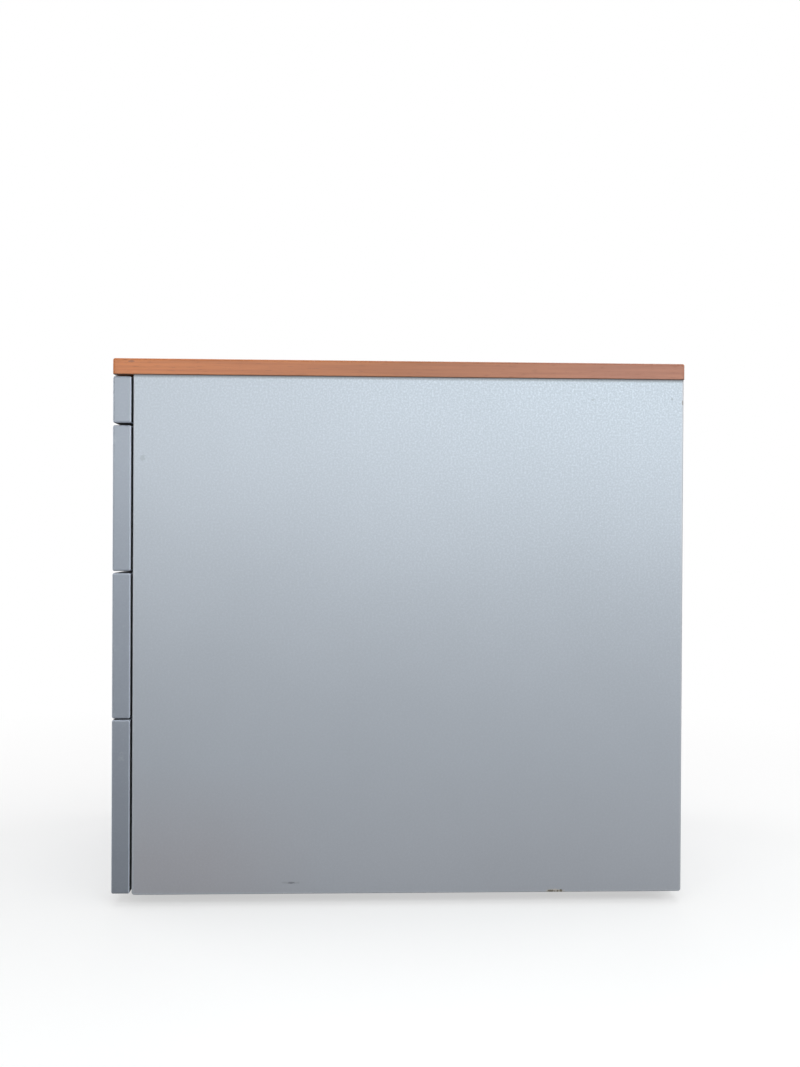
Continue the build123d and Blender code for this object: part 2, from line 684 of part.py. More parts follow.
def make_deep_rails(name):
    """The middle rail, the drawer's rail and the two ball cages of a deep drawer."""
    sheet = RAIL_SHEET
    middle_z = nested(RAILS[name], sheet, RAIL_BALL_GAP)
    drawer_z = nested(middle_z, sheet, RAIL_BALL_GAP)
    middle_start = sheet + CAGE_SPACE
    middle_end = RAIL_SPACE - sheet - RAIL_MEMBER_GAP
    drawer_start = middle_start + sheet + CAGE_SPACE
    cabinet_end = RAIL_SPACE - sheet - RAIL_FLANGE_GAP
    middle = channel(middle_z, sheet, (middle_start, middle_start + sheet), (middle_start, middle_end))
    drawer = channel(drawer_z, sheet, (RAIL_SPACE - sheet, RAIL_SPACE), (drawer_start, RAIL_SPACE))
    span = cage_span(DRAWER_TRAVEL / 2)
    outer_balls = centre((middle_start, cabinet_end))
    inner_balls = centre((drawer_start, middle_end))
    outer_web = sheet + CAGE_SPACE / 2
    inner_web = drawer_start - CAGE_SPACE / 2
    outer = ball_cage(RAILS[name], sheet, RAIL_BALL_GAP, outer_web, outer_balls, span)
    inner = ball_cage(middle_z, sheet, RAIL_BALL_GAP, inner_web, inner_balls, span)
    return middle, drawer, outer, inner


def make_pencil_rails():
    """The drawer's rail and the ball cage of the pencil drawer, which has no middle rail."""
    sheet = PENCIL_RAIL_SHEET
    drawer_z = nested(RAILS["pencil"], sheet, PENCIL_RAIL_BALL_GAP)
    drawer_start = sheet + CAGE_SPACE
    cabinet_end = RAIL_SPACE - sheet - RAIL_FLANGE_GAP
    drawer = channel(drawer_z, sheet, (RAIL_SPACE - sheet, RAIL_SPACE), (drawer_start, RAIL_SPACE))
    balls = centre((drawer_start, cabinet_end))
    web = sheet + CAGE_SPACE / 2
    span = cage_span(PENCIL_TRAVEL)
    cage = ball_cage(RAILS["pencil"], sheet, PENCIL_RAIL_BALL_GAP, web, balls, span)
    return drawer, cage


# Central lock
def make_lock_housing():
    """The fixed tube of the lock, with the bracket that holds it to the side panel."""
    tube = rod(LOCK_RADIUS, LOCK_X, (FRONT_FACE + LOCK_RECESS, LOCK_REAR), LOCK_Z)
    bracket_y = (CARCASS_FRONT + LOCK_BRACKET_SETBACK, LOCK_REAR)
    bracket = block((LOCK_X, SIDE_INNER), bracket_y, around(LOCK_Z, LOCK_BRACKET_HEIGHT))
    bore = rod(PLUG_RADIUS + PLUG_CLEARANCE, LOCK_X, grown((FRONT_FACE, LOCK_REAR), OVERRUN), LOCK_Z)
    return tube + bracket - bore


def make_lock_plug():
    """The turning plug with its keyway."""
    face = FRONT_FACE + LOCK_RECESS
    plug = rod(PLUG_RADIUS, LOCK_X, (face, CAM_FRONT), LOCK_Z)
    keyway_y = (face - OVERRUN, face + KEYWAY_DEPTH)
    return plug - block(around(LOCK_X, KEYWAY_WIDTH), keyway_y, around(LOCK_Z, KEYWAY_HEIGHT))


def make_lock_cam():
    """The disc on the plug's end and the pin that drives the bar."""
    disc = rod(CAM_RADIUS, LOCK_X, (CAM_FRONT, CAM_REAR), LOCK_Z)
    pin_end = BAR_FRONT + BAR_THICKNESS + CAM_PIN_OVERREACH
    return disc + rod(CAM_PIN_RADIUS, PIN_X, (CAM_REAR, pin_end), PIN_Z)


def tab_limits(name):
    """The X, Y and Z ranges of the tab that blocks a drawer's lug."""
    lug_x, lug_y, lug_z = lug_limits(name)
    inner = lug_x[0] if name == "pencil" else TRAY_OUTER + TAB_TRAY_GAP
    low = lug_z[1] + TAB_GAP
    return (inner, BAR_X[1]), (BAR_REAR - BAR_THICKNESS, BAR_REAR), (low, low + TAB_HEIGHT)


def bar_height():
    """The (low, high) heights of the locking bar when unlocked."""
    return (tab_limits("lower")[2][0] - BAR_FOOT, PIN_Z + DRIVER_HALF_HEIGHT)


def make_locking_bar():
    """The bar with a slotted driver at its head and one tab for each drawer."""
    strip = block(BAR_X, (BAR_FRONT, BAR_REAR), bar_height())
    driver_z = around(PIN_Z, 2 * DRIVER_HALF_HEIGHT)
    driver_y = (BAR_FRONT, BAR_FRONT + BAR_THICKNESS)
    driver = block((DRIVER_INNER, BAR_X[1]), driver_y, driver_z)
    reach = CAM_PIN_RADIUS + SLOT_CLEARANCE
    slot_x = (LOCK_X - CAM_THROW - reach, PIN_X + reach)
    slot = block(slot_x, grown(driver_y, OVERRUN), around(PIN_Z, 2 * reach))
    tabs = [block(*tab_limits(name)) for name in FRONTS]
    return joined([strip, driver - slot, *tabs])


def make_bar_groove():
    """The groove in the right-hand side panel that the bar slides in."""
    x = (SIDE_INNER - OVERRUN, SIDE_INNER + GROOVE_DEPTH)
    y = grown((BAR_FRONT, BAR_REAR), BAR_CLEARANCE)
    return block(x, y, (bar_height()[0] - LOCK_STROKE - BAR_CLEARANCE, TOP_UNDERSIDE + OVERRUN))


def make_bar_guides():
    """The two flat clips that keep the bar in its groove."""
    y = around(centre((BAR_FRONT, BAR_REAR)), GUIDE_WIDTH)
    x = from_side(0, GUIDE_THICKNESS)
    heights = [TRAYS[name][0] - GUIDE_DROP for name in ("upper", "centre")]
    return [block(x, y, around(height, GUIDE_HEIGHT)) for height in heights]


# Castors, drawn about the swivel axis and then moved to their places
def screw_corners():
    """Where a castor plate's four screws sit about the swivel axis."""
    reach = PLATE_SIZE / 2 - CASTOR_SCREW_INSET
    return [(x, y) for x in (-reach, reach) for y in (-reach, reach)]


def make_castor_plate():
    """The fixed plate and the kingpin that the hood swivels on."""
    low = CASTOR_HEIGHT - PLATE_THICKNESS
    side = around(0, PLATE_SIZE)
    plate = rounded_block(side, side, (low, CASTOR_HEIGHT), PLATE_CORNER, Axis.Z)
    through = grown((low, CASTOR_HEIGHT), OVERRUN)
    plate = cut(plate, [rod(CASTOR_SCREW_RADIUS + SCREW_FIT, x, y, through) for x, y in screw_corners()])
    return plate + rod(KINGPIN_RADIUS, 0, 0, (low - KINGPIN_LENGTH, low))


def make_castor_screws():
    """The four screws of one plate."""
    low = CASTOR_HEIGHT - PLATE_THICKNESS
    screws = []
    for x, y in screw_corners():
        head = rod(CASTOR_SCREW_HEAD_RADIUS, x, y, (low - CASTOR_SCREW_HEAD_HEIGHT, low))
        shank = rod(CASTOR_SCREW_RADIUS, x, y, (low, CASTOR_HEIGHT + CASTOR_SCREW_BITE))
        screws.append(head + shank)
    return screws


def castor_screw_holes():
    """The pilot holes for the castors' screws in the base board."""
    depth = (CASTOR_HEIGHT - OVERRUN, CASTOR_HEIGHT + CASTOR_SCREW_BITE + SCREW_FIT)
    radius = CASTOR_SCREW_RADIUS + SCREW_FIT
    holes = []
    for place_x, place_y in CASTOR_PLACES.values():
        holes += [rod(radius, place_x + x, place_y + y, depth) for x, y in screw_corners()]
    return holes


def make_castor_hood():
    """The swivelling hood: a web between the wheels, a fender over them and a boss on the kingpin."""
    inner_radius = WHEEL_RADIUS + HOOD_GAP
    wheel_outer = HOOD_WEB / 2 + WHEEL_SIDE_GAP + WHEEL_WIDTH
    width = around(0, 2 * (wheel_outer + HOOD_OVERHANG))
    hood = rod(inner_radius + HOOD_SHEET, width, CASTOR_TRAIL, WHEEL_RADIUS)
    reach = inner_radius + HOOD_SHEET + OVERRUN
    under = (WHEEL_RADIUS - reach, WHEEL_RADIUS - HOOD_SKIRT)
    hood = hood - block(grown(width, OVERRUN), around(CASTOR_TRAIL, 2 * reach), under)
    boss_top = CASTOR_HEIGHT - PLATE_THICKNESS - BOSS_GAP
    hood = hood + rod(BOSS_RADIUS, 0, 0, (boss_top - BOSS_LENGTH, boss_top))
    wheel_well = rod(inner_radius, (HOOD_WEB / 2, width[1] + OVERRUN), CASTOR_TRAIL, WHEEL_RADIUS)
    hood = cut(hood, pair(wheel_well))
    pin_end = CASTOR_HEIGHT - PLATE_THICKNESS - KINGPIN_LENGTH
    bore = (pin_end - KINGPIN_END_GAP, boss_top + OVERRUN)
    hood = hood - rod(KINGPIN_RADIUS + KINGPIN_CLEARANCE, 0, 0, bore)
    return hood - rod(AXLE_RADIUS, width, CASTOR_TRAIL, WHEEL_RADIUS)


def make_castor_axle():
    """The steel axle, held in the hood's web."""
    wheel_outer = HOOD_WEB / 2 + WHEEL_SIDE_GAP + WHEEL_WIDTH
    return rod(AXLE_RADIUS, around(0, 2 * (wheel_outer - AXLE_END_GAP)), CASTOR_TRAIL, WHEEL_RADIUS)


def make_castor_wheel():
    """The right-hand wheel, with a rounded tread and a dished outer face."""
    inner = HOOD_WEB / 2 + WHEEL_SIDE_GAP
    outer = inner + WHEEL_WIDTH
    wheel = rod(WHEEL_RADIUS, (inner, outer), CASTOR_TRAIL, WHEEL_RADIUS)
    wheel = fillet(wheel.edges().filter_by(GeomType.CIRCLE), WHEEL_ROUNDING)
    dish = (outer - WHEEL_DISH_DEPTH, outer + OVERRUN)
    ring = rod(WHEEL_RIM_RADIUS, dish, CASTOR_TRAIL, WHEEL_RADIUS)
    ring = ring - rod(WHEEL_HUB_RADIUS, dish, CASTOR_TRAIL, WHEEL_RADIUS)
    bore = rod(AXLE_RADIUS + WHEEL_CLEARANCE, grown((inner, outer), OVERRUN), CASTOR_TRAIL, WHEEL_RADIUS)
    return wheel - ring - bore


# Everything, written one sub-part at a time
def save_carcass():
    """The boards, their edge bands and their dowels."""
    holes = dowel_holes()
    top, top_strips = make_top(holes)
    side, side_strips = make_side(holes)
    side = cut(side, rail_screw_holes())
    save("top_panel", top)
    save("top_edge_band", *top_strips)
    save("left_side_panel", side.mirror(MIRROR))
    save("right_side_panel", side - make_bar_groove())
    save("side_edge_bands", *[strip for right in side_strips for strip in pair(right)])
    save("back_panel", make_back(holes))
    save("base_panel", cut(make_base(holes), castor_screw_holes()))
    save("wood_dowels", *make_dowels())


def save_drawers():
    """The four drawers with their rails."""
    screws = []
    for name in FRONTS:
        sheet = PENCIL_RAIL_SHEET if name == "pencil" else RAIL_SHEET
        save(f"{name}_drawer_front", make_front(name))
        save(f"{name}_drawer_pull", make_pull(name))
        save(f"{name}_drawer_tray", *make_tray(name))
        save(f"{name}_cabinet_rails", *pair(make_cabinet_rail(name, sheet)))
        screws += [screw for right in make_rail_screws(name, sheet) for screw in pair(right)]
    save("rail_screws", *screws)
    save("pen_insert", make_pen_insert())
    pencil_rail, pencil_cage = make_pencil_rails()
    save("pencil_drawer_rails", *turned_pairs([pencil_rail]))
    save("pencil_ball_cages", *turned_pairs(pencil_cage))
    for name in DEEP_DRAWERS:
        middle, drawer, outer, inner = make_deep_rails(name)
        save(f"{name}_middle_rails", *turned_pairs([middle]))
        save(f"{name}_drawer_rails", *turned_pairs([drawer]))
        save(f"{name}_outer_ball_cages", *turned_pairs(outer))
        save(f"{name}_inner_ball_cages", *turned_pairs(inner))


def save_lock():
    """The lock and the bar that it moves."""
    save("lock_housing", make_lock_housing())
    save("lock_plug", make_lock_plug())
    save("lock_cam", make_lock_cam())
    save("locking_bar", make_locking_bar())
    save("locking_bar_guides", *make_bar_guides())


def save_castors():
    """The four castors."""
    plates = []
    screws = []
    for name, (x, y) in CASTOR_PLACES.items():
        place = Pos(x, y, 0)
        plates.append(place * make_castor_plate())
        screws += [place * screw for screw in make_castor_screws()]
        save(f"castor_hood_{name}", place * make_castor_hood())
        save(f"castor_axle_{name}", place * make_castor_axle())
        save(f"castor_wheels_{name}", *[place * wheel for wheel in pair(make_castor_wheel())])
    save("castor_plates", *plates)
    save("castor_screws", *screws)


os.makedirs("parts", exist_ok=True)
save_carcass()
save_drawers()
save_lock()
save_castors()
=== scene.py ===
# %% [markdown]
# # A mobile pedestal in silver melamine and beech
# The object is a drawer pedestal that rolls under a desk: a board carcass, a shallow drawer for
# pens, three deep drawers on steel rails, a lock, and four castors that hide in the space under the
# base board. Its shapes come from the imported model, which is loaded first and never moved. This
# file gives it light, a camera and finishes, and adds the small fixings that repeat. A scene could
# also start from an empty file with shapes modelled by hand, but then nothing would keep them in
# step with the moving model.

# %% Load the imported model
import json
import math

import bpy
from mathutils import Matrix, Vector


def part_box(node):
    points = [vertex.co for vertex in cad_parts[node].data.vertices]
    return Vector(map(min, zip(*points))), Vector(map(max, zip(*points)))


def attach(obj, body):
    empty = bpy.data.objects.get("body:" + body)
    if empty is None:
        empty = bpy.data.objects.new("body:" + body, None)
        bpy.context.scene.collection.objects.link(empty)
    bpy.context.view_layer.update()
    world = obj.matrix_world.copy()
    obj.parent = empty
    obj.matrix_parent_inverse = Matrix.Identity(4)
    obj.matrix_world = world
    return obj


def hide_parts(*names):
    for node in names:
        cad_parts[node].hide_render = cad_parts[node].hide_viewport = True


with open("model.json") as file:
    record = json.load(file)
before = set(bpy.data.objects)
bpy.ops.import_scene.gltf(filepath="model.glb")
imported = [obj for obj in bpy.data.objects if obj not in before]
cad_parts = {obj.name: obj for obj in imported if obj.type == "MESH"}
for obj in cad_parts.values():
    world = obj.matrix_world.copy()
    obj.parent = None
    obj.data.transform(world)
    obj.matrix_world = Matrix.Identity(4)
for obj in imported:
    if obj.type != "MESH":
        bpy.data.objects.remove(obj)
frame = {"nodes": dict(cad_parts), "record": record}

scene = bpy.context.scene
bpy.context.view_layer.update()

# %% [markdown]
# ## The camera
# The photograph looks squarely at the right side of the pedestal, from a little in front of its
# middle and from above half its height. A camera's place can be found by eye, or worked out from
# where known corners fall in the picture. Here the corners of the side panel and the top gave a
# distance of 1.26 m and a focal length of 1200 pixels. The lens is written as that length over the
# picture's long side, times the sensor.

# %% Place the camera
PICTURE_WIDTH, PICTURE_HEIGHT = 800, 1067
FOCAL_PIXELS = 1200.0
SENSOR_WIDTH = 36.0
CAMERA_PLACE = (1.4721, -0.0519, 0.3965)
CAMERA_TURN, CAMERA_TILT, CAMERA_ROLL = (math.radians(angle) for angle in (2.328, -0.293, 0.291))

camera_data = bpy.data.cameras.new("side_camera")
camera_data.sensor_width = SENSOR_WIDTH
camera_data.lens = FOCAL_PIXELS / max(PICTURE_WIDTH, PICTURE_HEIGHT) * SENSOR_WIDTH
camera = bpy.data.objects.new("side_camera", camera_data)
scene.collection.objects.link(camera)

# Level, the camera looks along -X with +Y to the right; its own turns come after that.
level = Matrix(((0, 0, 1), (1, 0, 0), (0, 1, 0)))
turns = (Matrix.Rotation(-CAMERA_TURN, 3, "Y") @ Matrix.Rotation(CAMERA_TILT, 3, "X")
         @ Matrix.Rotation(CAMERA_ROLL, 3, "Z"))
camera.matrix_world = Matrix.Translation(CAMERA_PLACE) @ (level @ turns).to_4x4()
scene.camera = camera
scene.view_settings.view_transform = "Standard"
print("camera lens", round(camera_data.lens, 2), "mm")

# %% [markdown]
# ## Wiring nodes in a script
# Every finish below is a tree of nodes. In the node editor you drag wires by hand; in a script a
# few small helpers do the same and keep each finish readable. `add_node` makes one node, sets its
# options, and takes for each input either a plain value or the output of another node.

# %% Helpers for node trees
def add_node(tree, kind, inputs=None, **options):
    """Adds one node; inputs maps a socket's name or number to a value or another node's output."""
    node = tree.nodes.new(kind)
    for option, value in options.items():
        setattr(node, option, value)
    for socket, value in (inputs or {}).items():
        if isinstance(value, bpy.types.NodeSocket):
            tree.links.new(value, node.inputs[socket])
        else:
            node.inputs[socket].default_value = value
    return node


def calc(tree, operation, first, second=0.0):
    """One sum on numbers."""
    return add_node(tree, "ShaderNodeMath", {0: first, 1: second}, operation=operation).outputs[0]


def calc_vector(tree, operation, first, second):
    """One sum on vectors; LENGTH gives a number."""
    node = add_node(tree, "ShaderNodeVectorMath", {0: first, 1: second}, operation=operation)
    return node.outputs["Value" if operation == "LENGTH" else "Vector"]


def brighten(tree, colour, factor):
    """A colour times a number."""
    node = add_node(tree, "ShaderNodeVectorMath", {0: colour, "Scale": factor}, operation="SCALE")
    return node.outputs["Vector"]


def blend(tree, share, first, second):
    """The first colour where share is 0, the second where it is 1."""
    node = add_node(tree, "ShaderNodeMix", {0: share, 6: first, 7: second}, data_type="RGBA")
    return node.outputs[2]


def remap(tree, value, low, high, to_low=0.0, to_high=1.0):
    """Stretches the range from low to high onto another one, and stops at its ends."""
    ends = {"Value": value, "From Min": low, "From Max": high, "To Min": to_low, "To Max": to_high}
    return add_node(tree, "ShaderNodeMapRange", ends).outputs[0]


def noise(tree, where, scale, detail=2.0, roughness=0.5):
    """Soft random values around 0.5; scale counts the blobs in a metre."""
    inputs = {"Vector": where, "Scale": scale, "Detail": detail, "Roughness": roughness}
    return add_node(tree, "ShaderNodeTexNoise", inputs).outputs[0]


def srgb(red, green, blue):
    """A colour that is written from 0 to 255, as the light values that Blender works in."""
    shares = [value / 255 for value in (red, green, blue)]
    light = [s / 12.92 if s <= 0.04045 else ((s + 0.055) / 1.055) ** 2.4 for s in shares]
    return tuple(light) + (1.0,)


print("node helpers ready; mid grey is", round(srgb(128, 128, 128)[0], 3))

# %% [markdown]
# ## Floor and backdrop
# The photograph shows the pedestal on plain white. White paper could be lit until it burns out, but
# that much light would wash out the object too. Instead, Light Path tells which rays end in the
# picture, in a reflection or in glass: for those the world is white at a strength of 1, and for the
# rays that carry light it is a calm ambient grey. The floor does the same with distance, so it
# keeps a soft shadow near the object and melts into the white further out. Seen from below it is
# clear, so that the castors can be looked at.

# %% Build the floor and the world
AMBIENT = 0.16
AMBIENT_COLOUR = (1.0, 0.975, 0.97, 1.0)
FLOOR_HALF = 6.0
FLOOR_WHITE = 0.55                 # share of the floor near the object that is plain white
FLOOR_NEAR, FLOOR_FAR = 0.5, 1.3   # the shadow fades out between these distances
FLOOR_PAPER = (0.9, 0.9, 0.9, 1.0)
FLOOR_BOUNCE = (0.15, 0.15, 0.15, 1)  # what the floor gives back to the object, as a carpet would
WHITE = (1, 1, 1, 1)


def seen_directly(tree):
    """1 for rays that end in the picture, a reflection or glass; 0 for those that carry light."""
    path = add_node(tree, "ShaderNodeLightPath").outputs
    bounced = calc(tree, "MAXIMUM", path["Is Glossy Ray"], path["Is Transmission Ray"])
    return calc(tree, "MAXIMUM", path["Is Camera Ray"], bounced)


world = bpy.data.worlds.new("studio_world")
world.use_nodes = True
scene.world = world
wires = world.node_tree
ambient = add_node(wires, "ShaderNodeBackground", {"Color": AMBIENT_COLOUR, "Strength": AMBIENT})
backdrop = add_node(wires, "ShaderNodeBackground", {"Color": WHITE, "Strength": 1.0})
chosen = add_node(wires, "ShaderNodeMixShader",
                  {0: seen_directly(wires), 1: ambient.outputs[0], 2: backdrop.outputs[0]})
wires.links.new(chosen.outputs[0], wires.nodes["World Output"].inputs["Surface"])

floor_mesh = bpy.data.meshes.new("studio_floor")
corners = [(x * FLOOR_HALF, y * FLOOR_HALF, 0.0) for x, y in ((-1, -1), (1, -1), (1, 1), (-1, 1))]
floor_mesh.from_pydata(corners, [], [(0, 1, 2, 3)])
floor = bpy.data.objects.new("studio_floor", floor_mesh)
scene.collection.objects.link(floor)

paper = bpy.data.materials.new("studio_paper")
paper.use_nodes = True
wires = paper.node_tree
wires.nodes.clear()
here = add_node(wires, "ShaderNodeTexCoord").outputs["Object"]
distance = calc_vector(wires, "LENGTH", here, (0, 0, 0))
whiteness = remap(wires, distance, FLOOR_NEAR, FLOOR_FAR, FLOOR_WHITE, 1.0)
paper_colour = blend(wires, seen_directly(wires), FLOOR_BOUNCE, FLOOR_PAPER)
matt = add_node(wires, "ShaderNodeBsdfDiffuse", {"Color": paper_colour})
white = add_node(wires, "ShaderNodeEmission", {"Color": WHITE, "Strength": 1.0})
glow = calc(wires, "MULTIPLY", whiteness, seen_directly(wires))
from_above = add_node(wires, "ShaderNodeMixShader",
                      {0: glow, 1: matt.outputs[0], 2: white.outputs[0]})
from_below = add_node(wires, "ShaderNodeBsdfTransparent")
backfacing = add_node(wires, "ShaderNodeNewGeometry").outputs["Backfacing"]
both = add_node(wires, "ShaderNodeMixShader",
                {0: backfacing, 1: from_above.outputs[0], 2: from_below.outputs[0]})
add_node(wires, "ShaderNodeOutputMaterial", {"Surface": both.outputs[0]})
floor_mesh.materials.append(paper)
print("floor", 2 * FLOOR_HALF, "m wide, ambient level", AMBIENT)

# %% [markdown]
# ## Lamps
# In the photograph the side panel is bright at its top rear corner and less than half as bright at
# its foot. That comes from a long soft lamp close to the side, just higher than the top and towards
# the rear: light from a near lamp falls off fast. A sun lamp would light the panel evenly. Lamps
# overhead, in front, on the left and behind keep the other sides clear, and are large, so that none
# burns a white patch into the top. Lamps are hidden from the camera, so that none stands in the way
# of another view.

# %% Hang the lamps
def soft_lamp(name, place, target, width, height, power, colour=(1.0, 1.0, 1.0)):
    """A soft lamp with an oblong face that shines from its place towards a target."""
    data = bpy.data.lights.new(name, "AREA")
    data.shape, data.size, data.size_y = "RECTANGLE", width, height
    data.energy, data.color = power, colour
    lamp = bpy.data.objects.new(name, data)
    lamp.location = place
    lamp.rotation_euler = (Vector(target) - Vector(place)).to_track_quat("-Z", "Y").to_euler()
    lamp.visible_camera = False
    scene.collection.objects.link(lamp)
    return lamp


lamps = [
    soft_lamp("side_lamp", (0.92, 0.42, 0.63), (0.214, 0.40, 0.48), 2.2, 0.5, 10.2,
              colour=(0.955, 1.0, 1.0)),
    soft_lamp("overhead_lamp", (0.0, 0.1, 2.6), (0.0, 0.0, 0.3), 2.0, 2.0, 24.0),
    soft_lamp("front_lamp", (-1.0, -2.4, 1.3), (0.0, -0.3, 0.3), 2.2, 2.0, 30.0),
    soft_lamp("left_lamp", (-2.4, 0.2, 1.3), (-0.2, 0.0, 0.3), 2.2, 2.0, 26.0),
    soft_lamp("rear_lamp", (-0.7, 2.5, 1.2), (0.0, 0.3, 0.3), 2.2, 2.2, 25.0),
]
print("lamps:", ", ".join(f"{lamp.name} {lamp.data.energy:g} W" for lamp in lamps))

# %% [markdown]
# ## Shared effects as node groups
# The boards wear a silver decor: a printed foil with tiny bright flakes under a satin face. Several
# finishes share that speckle, so it is built once as a node group with named inputs, like a
# function, and placed in each material with its own values. A picture of the foil would also do,
# but a pattern worked out from the piece's own coordinates needs no file, never repeats, and stays
# put when the piece moves.

# %% The silver foil's speckle
def new_group(name, takes, gives):
    """An empty shader group and its inputs; takes and gives map each socket's name to its kind."""
    group = bpy.data.node_groups.new(name, "ShaderNodeTree")
    for label, kind in takes.items():
        group.interface.new_socket(label, in_out="INPUT", socket_type="NodeSocket" + kind)
    for label, kind in gives.items():
        group.interface.new_socket(label, in_out="OUTPUT", socket_type="NodeSocket" + kind)
    given = group.nodes.new("NodeGroupInput").outputs
    group.nodes.new("NodeGroupOutput")
    return group, given


# What every layer of finish puts out.
LAYER_GIVES = {"Color": "Color", "Roughness Shift": "Float", "Height": "Float"}


def join(group, **results):
    """Wires a group's results to its outputs; an underscore in a name stands for a space."""
    ends = next(node for node in group.nodes if node.bl_idname == "NodeGroupOutput").inputs
    for label, value in results.items():
        group.links.new(value, ends[label.replace("_", " ")])


CELLS_PER_GRAIN = 0.8   # cells of the honeycomb for each blob of the grain
FLECK_SHARE = 0.55      # how strongly the plain grain shows next to a shining flake
CLOUDS_PER_METRE = 7.0
FLAKE_ROUGHNESS = 0.2   # what a bright flake adds to the roughness


def make_foil_speckle():
    group, given = new_group("foil_speckle", {
        "Vector": "Vector", "Foil": "Color", "Flake": "Color", "Flake Size": "Float",
        "Flake Amount": "Float", "Cloud Amount": "Float"}, LAYER_GIVES)
    per_metre = calc(group, "DIVIDE", 1.0, given["Flake Size"])
    grain = noise(group, given["Vector"], per_metre, 3.0, 0.62)
    fleck = remap(group, grain, 0.44, 0.68)
    # Now and then one whole flake gets a painted glint: a random cell of a coarser honeycomb.
    cells = add_node(group, "ShaderNodeTexVoronoi", {
        "Vector": given["Vector"], "Scale": calc(group, "MULTIPLY", per_metre, CELLS_PER_GRAIN)})
    lot = add_node(group, "ShaderNodeSeparateColor", {0: cells.outputs["Color"]}).outputs[0]
    painted_glint = calc(group, "MULTIPLY", remap(group, lot, 0.84, 0.92),
                 remap(group, cells.outputs["Distance"], 0.42, 0.12))
    flakes = calc(group, "ADD", calc(group, "MULTIPLY", fleck, FLECK_SHARE), painted_glint)
    glitter = calc(group, "MINIMUM", flakes, 1.0)
    flakes = calc(group, "MULTIPLY", flakes, given["Flake Amount"])
    cloud = remap(group, noise(group, given["Vector"], CLOUDS_PER_METRE, 3.0), 0.3, 0.7, -1.0, 1.0)
    cloud = calc(group, "MULTIPLY", cloud, given["Cloud Amount"])
    colour = blend(group, flakes, given["Foil"], given["Flake"])
    colour = brighten(group, colour, calc(group, "ADD", cloud, 1.0))
    shift = calc(group, "MULTIPLY", glitter, FLAKE_ROUGHNESS)
    join(group, Color=colour, Roughness_Shift=shift, Height=grain)
    return group


FOIL_SPECKLE = make_foil_speckle()
print("group", FOIL_SPECKLE.name, "with", len(FOIL_SPECKLE.nodes), "nodes")

# %% [markdown]
# ## Chips and smears
# The photographed pedestal has been used: a chip at the foot of the side panel shows pale broken
# board with dark bits in it, and there are a few smears and specks. Painting such marks in a
# picture would tie them to a texture map. A mask that asks how far a point lies from the mark's
# middle, with a ragged edge from noise, needs only the mark's place and half size, and any finish
# can use it.

# %% The mask of one mark
TATTERS_PER_METRE = 420.0  # how fine the ragged edge of a mark is


def make_ragged_spot():
    group, given = new_group("ragged_spot", {
        "Vector": "Vector", "Centre": "Vector", "Half Size": "Vector", "Raggedness": "Float"},
        {"Mask": "Float"})
    away = calc_vector(group, "SUBTRACT", given["Vector"], given["Centre"])
    away = calc_vector(group, "DIVIDE", away, given["Half Size"])
    away = calc_vector(group, "LENGTH", away, (0, 0, 0))
    tatters = noise(group, given["Vector"], TATTERS_PER_METRE, 4.0, 0.7)
    ragged = calc(group, "SUBTRACT", tatters, 0.5)
    edge = calc(group, "ADD", away, calc(group, "MULTIPLY", ragged, given["Raggedness"]))
    join(group, Mask=remap(group, edge, 1.0, 0.7))
    return group


RAGGED_SPOT = make_ragged_spot()
BROKEN_BOARD = srgb(194, 188, 180)
BOARD_CORE = srgb(110, 103, 90)
GREY_SMEAR = srgb(96, 98, 104)
PALE_RUB = srgb(214, 218, 222)
DARK_WOOD = srgb(126, 74, 44)
SIDE_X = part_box("right_side_panel")[1].x
FOOT_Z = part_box("side_edge_bands")[0].z

MARK_DEPTH = 0.003  # half size of every mark into the board

# Each mark on the side: its middle's y and z, its half size along y and z, how ragged it is, what
# shows there, and how strongly.
FOOT_CHIP = [
    (0.1645, FOOT_Z + 0.0012, 0.0105, 0.0026, 1.3, BROKEN_BOARD, 0.85),
    (0.1607, FOOT_Z + 0.0014, 0.0040, 0.0015, 1.2, BOARD_CORE, 0.95),
    (0.1650, FOOT_Z + 0.0012, 0.0009, 0.0010, 0.8, BOARD_CORE, 0.8),
    (0.1677, FOOT_Z + 0.0012, 0.0014, 0.0013, 0.8, BOARD_CORE, 1.0),
    (0.1712, FOOT_Z + 0.0017, 0.0018, 0.0019, 1.0, BOARD_CORE, 1.0),
]
PANEL_MARKS = FOOT_CHIP + [
    (-0.1135, 0.0238, 0.0120, 0.0013, 1.6, GREY_SMEAR, 0.2),
    (-0.1130, 0.0238, 0.0042, 0.0012, 1.1, GREY_SMEAR, 0.55),
    (-0.2690, 0.4675, 0.0030, 0.0036, 2.4, GREY_SMEAR, 0.22),
    (0.2025, 0.5319, 0.0016, 0.0014, 1.4, GREY_SMEAR, 0.32),
    (0.2867, 0.5338, 0.0015, 0.0018, 1.4, GREY_SMEAR, 0.32),
]
EDGE_MARKS = FOOT_CHIP + [(0.2975, 0.5296, 0.0030, 0.0032, 1.4, BOARD_CORE, 0.6)]
TOP_MARKS = [(-0.2808, 0.5676, 0.0036, 0.0016, 1.3, DARK_WOOD, 0.65)]


def add_group(tree, group, values):
    """Places a shared group in a finish, with its own values."""
    return add_node(tree, "ShaderNodeGroup", values, node_tree=group)


def add_marks(tree, where, colour, marks):
    """Lays a finish's marks over its colour, one after the other."""
    for y, z, half_y, half_z, raggedness, shows, strength in marks:
        spot = add_group(tree, RAGGED_SPOT, {
            "Vector": where, "Centre": (SIDE_X, y, z), "Half Size": (MARK_DEPTH, half_y, half_z),
            "Raggedness": raggedness})
        colour = blend(tree, calc(tree, "MULTIPLY", spot.outputs["Mask"], strength), colour, shows)
    return colour


